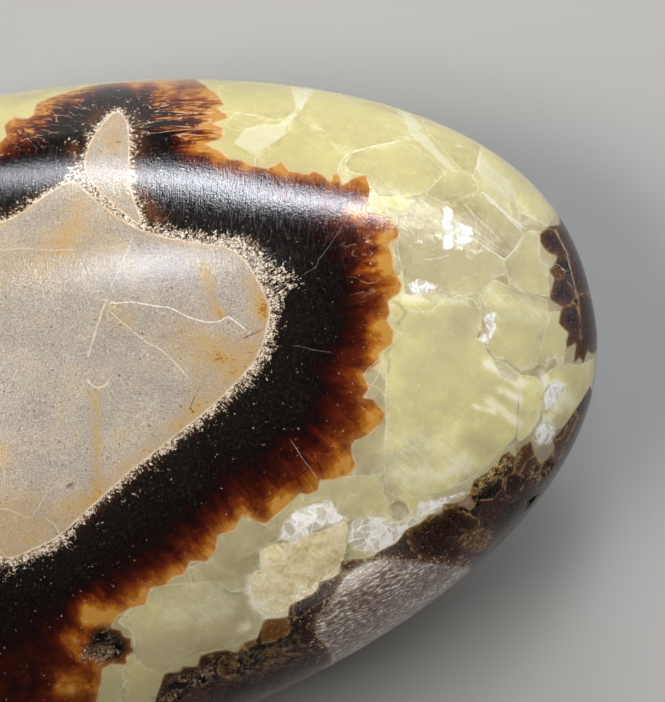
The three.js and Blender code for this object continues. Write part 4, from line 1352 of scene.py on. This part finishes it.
# %% [markdown]
# The relief under the polish is only microns deep: wheel marks everywhere, a fine ripple where the
# aragonite needles wore unevenly, plucked grains in the limestone, and small flat facets where the
# calcite is shattered, which break up its reflections. So it is bump, and only the vugs are real holes.
# Then one Principled shader carries all of it. These minerals bend light by 1.49 to 1.69, close to the
# shader's own 1.5.

# %% Relief and shader
RELIEF_MM = 0.009
BREAK_MM = 1.3
LIGHT_GOES_MM = 1.6  # how deep light goes into the calcite
LIGHT_REACHES = (1.0, 0.8, 0.35)  # share of that for red, green and blue

plucked = add("Math MULTIPLY", blend(grain, crumb, 0.5), add("MapRange", in_block, 0.0, 1.0, 1.0, 2.0))
rippled = add("Math MULTIPLY", blend(crumb, ragged, 0.5), add("MapRange", in_rim, 0.0, 1.0, 0.5, 3.4))
breaks = add("TexVoronoi", bent_place, 1 / BREAK_MM, distance="CHEBYCHEV")
breaks = add("Math MULTIPLY", breaks, add("Math MULTIPLY", add("Math MULTIPLY", broken_up, clear), 29.0))
rough_vug = add("Math MULTIPLY", add("Math MULTIPLY", crumb, vug_mask), 50.0)
relief = add("Math ADD", plucked, add("Math MULTIPLY", wheel, 2.4))
relief = add("Math ADD", relief, add("Math ADD", breaks, rough_vug))
relief = add("Math ADD", relief, rippled)
relief = add("Bump", named={"Height": relief, "Strength": 0.5, "Distance": RELIEF_MM * MM})

shader = add("BsdfPrincipled", named={
    "Base Color": colour,
    "Roughness": gloss,
    "Normal": relief,
    "Specular IOR Level": shine,
    "Subsurface Weight": soft_light,
    "Subsurface Radius": LIGHT_REACHES,
    "Subsurface Scale": LIGHT_GOES_MM * MM,
})
output = tree.nodes.new("ShaderNodeOutputMaterial")
tree.links.new(shader, output.inputs["Surface"])
mesh.materials.append(material)
print("nodes in the stone's material:", len(tree.nodes))

# %% [markdown]
# ## Studio
#
# The stone lies on a plain pale sweep and is seen from straight above. A long strip softbox beyond its
# far side, bent down at its left end, lays one streak along the shoulder, which shows the polish. A
# small box above it lays a fainter one on the limestone. The face gets its light from a large box
# overhead, left of where the polish would mirror it, and two dim ones open the shadows. The sweep is
# matt paper, so that it mirrors nothing itself.

# %% Floor
FLOOR_HALF = 1.5
FLOOR_CORNERS = ((-1, -1), (1, -1), (1, 1), (-1, 1))

floor_mesh = bpy.data.meshes.new("floor")
floor_places = [(FLOOR_HALF * x, FLOOR_HALF * y, 0) for x, y in FLOOR_CORNERS]
floor_mesh.from_pydata(floor_places, [], [(0, 1, 2, 3)])
floor = bpy.data.objects.new("floor", floor_mesh)
bpy.context.scene.collection.objects.link(floor)
paper = bpy.data.materials.new("matt paper sweep")
paper.use_nodes = True
paper_shader = paper.node_tree.nodes["Principled BSDF"]
paper_shader.inputs["Base Color"].default_value = linear("#A9A8A5")
paper_shader.inputs["Roughness"].default_value = 0.9
floor_mesh.materials.append(paper)
print("floor, m:", 2 * FLOOR_HALF)

# %% [markdown]
# The camera looks straight down at the crown and is turned with the sketch. It stands well back, so that
# the crown isn't drawn much larger than the girdle round it.


# %% Camera
def in_studio(right, up, high):
    """A place in the stone's frame from its place in the sketch's plan and height, in millimetres."""
    x = right * COS_TURN + up * SIN_TURN
    y = up * COS_TURN - right * SIN_TURN
    return Vector((x + to_frame[0], y + to_frame[1], high + to_frame[2])) * MM


CAMERA_HIGH = 420  # above the girdle
VIEW_CENTRE = (20.6, 5.4)  # middle of the picture in the sketch's plan
VIEW_TALL = 60.56  # what the picture's long side spans at the girdle

camera = bpy.data.cameras.new("camera")
camera.sensor_width = 36
camera.lens = camera.sensor_width * CAMERA_HIGH / VIEW_TALL
camera.clip_start = 0.01
camera_object = bpy.data.objects.new("camera", camera)
camera_object.location = in_studio(*VIEW_CENTRE, CAMERA_HIGH)
camera_object.rotation_euler = (0, 0, -SKETCH_TURN)
bpy.context.scene.collection.objects.link(camera_object)
bpy.context.scene.camera = camera_object
print("lens:", round(camera.lens, 1), "mm")

# %% [markdown]
# Every light is a rectangle of even glow, a softbox. It is placed by the two ends of its long middle
# line, as if it hung between two stands, and it faces a point on the stone. How bright it looks is
# given, and the power follows from its area.


# %% Lights
def softbox(name, start, end, tall, target, glow, tint):
    """A rectangular light whose long middle line runs from start to end, and that faces the target."""
    start, end, target = (in_studio(*spot) for spot in (start, end, target))
    along = (end - start).normalized()
    back = (start + end) / 2 - target
    back = (back - back.dot(along) * along).normalized()
    light = bpy.data.lights.new(name, "AREA")
    light.shape = "RECTANGLE"
    light.size = (end - start).length
    light.size_y = tall * MM
    light.energy = glow * math.pi * light.size * light.size_y
    light.color = linear(tint)[:3]
    box = bpy.data.objects.new(name, light)
    turn = Matrix((along, back.cross(along), back)).transposed().to_4x4()
    box.matrix_world = Matrix.Translation((start + end) / 2) @ turn
    bpy.context.scene.collection.objects.link(box)


CROWN_POINT = (10, 14, 17)
softbox("strip, far left part", (-125, 400, 122), (-24, 400, 204), 50, CROWN_POINT, 15, "#F4F7FF")
softbox("strip, left part", (-24, 400, 199), (110, 400, 309), 46, CROWN_POINT, 34, "#F4F7FF")
softbox("strip, right part", (110, 400, 311), (600, 400, 297), 46, CROWN_POINT, 34, "#F4F7FF")
softbox("high box", (-71, 400, 690), (60, 400, 755), 34, (7, 13, 18), 64, "#E6F2FF")
softbox("overhead box", (-350, -150, 780), (-350, 150, 780), 260, (0, 0, 15), 13.1, "#FFFBF4")
softbox("left fill", (-500, 200, 520), (-500, -200, 520), 400, (0, 0, 10), 2.4, "#FFF6EA")
softbox("near fill", (300, -540, 110), (392, -480, 110), 110, (25, -14, 8), 11, "#FFF6E8")

world = bpy.data.worlds.new("studio air")
bpy.context.scene.world = world
world.use_nodes = True
world.node_tree.nodes["Background"].inputs["Color"].default_value = linear("#C8CCD2")
world.node_tree.nodes["Background"].inputs["Strength"].default_value = 0.08
bpy.context.scene.view_settings.view_transform = "Standard"
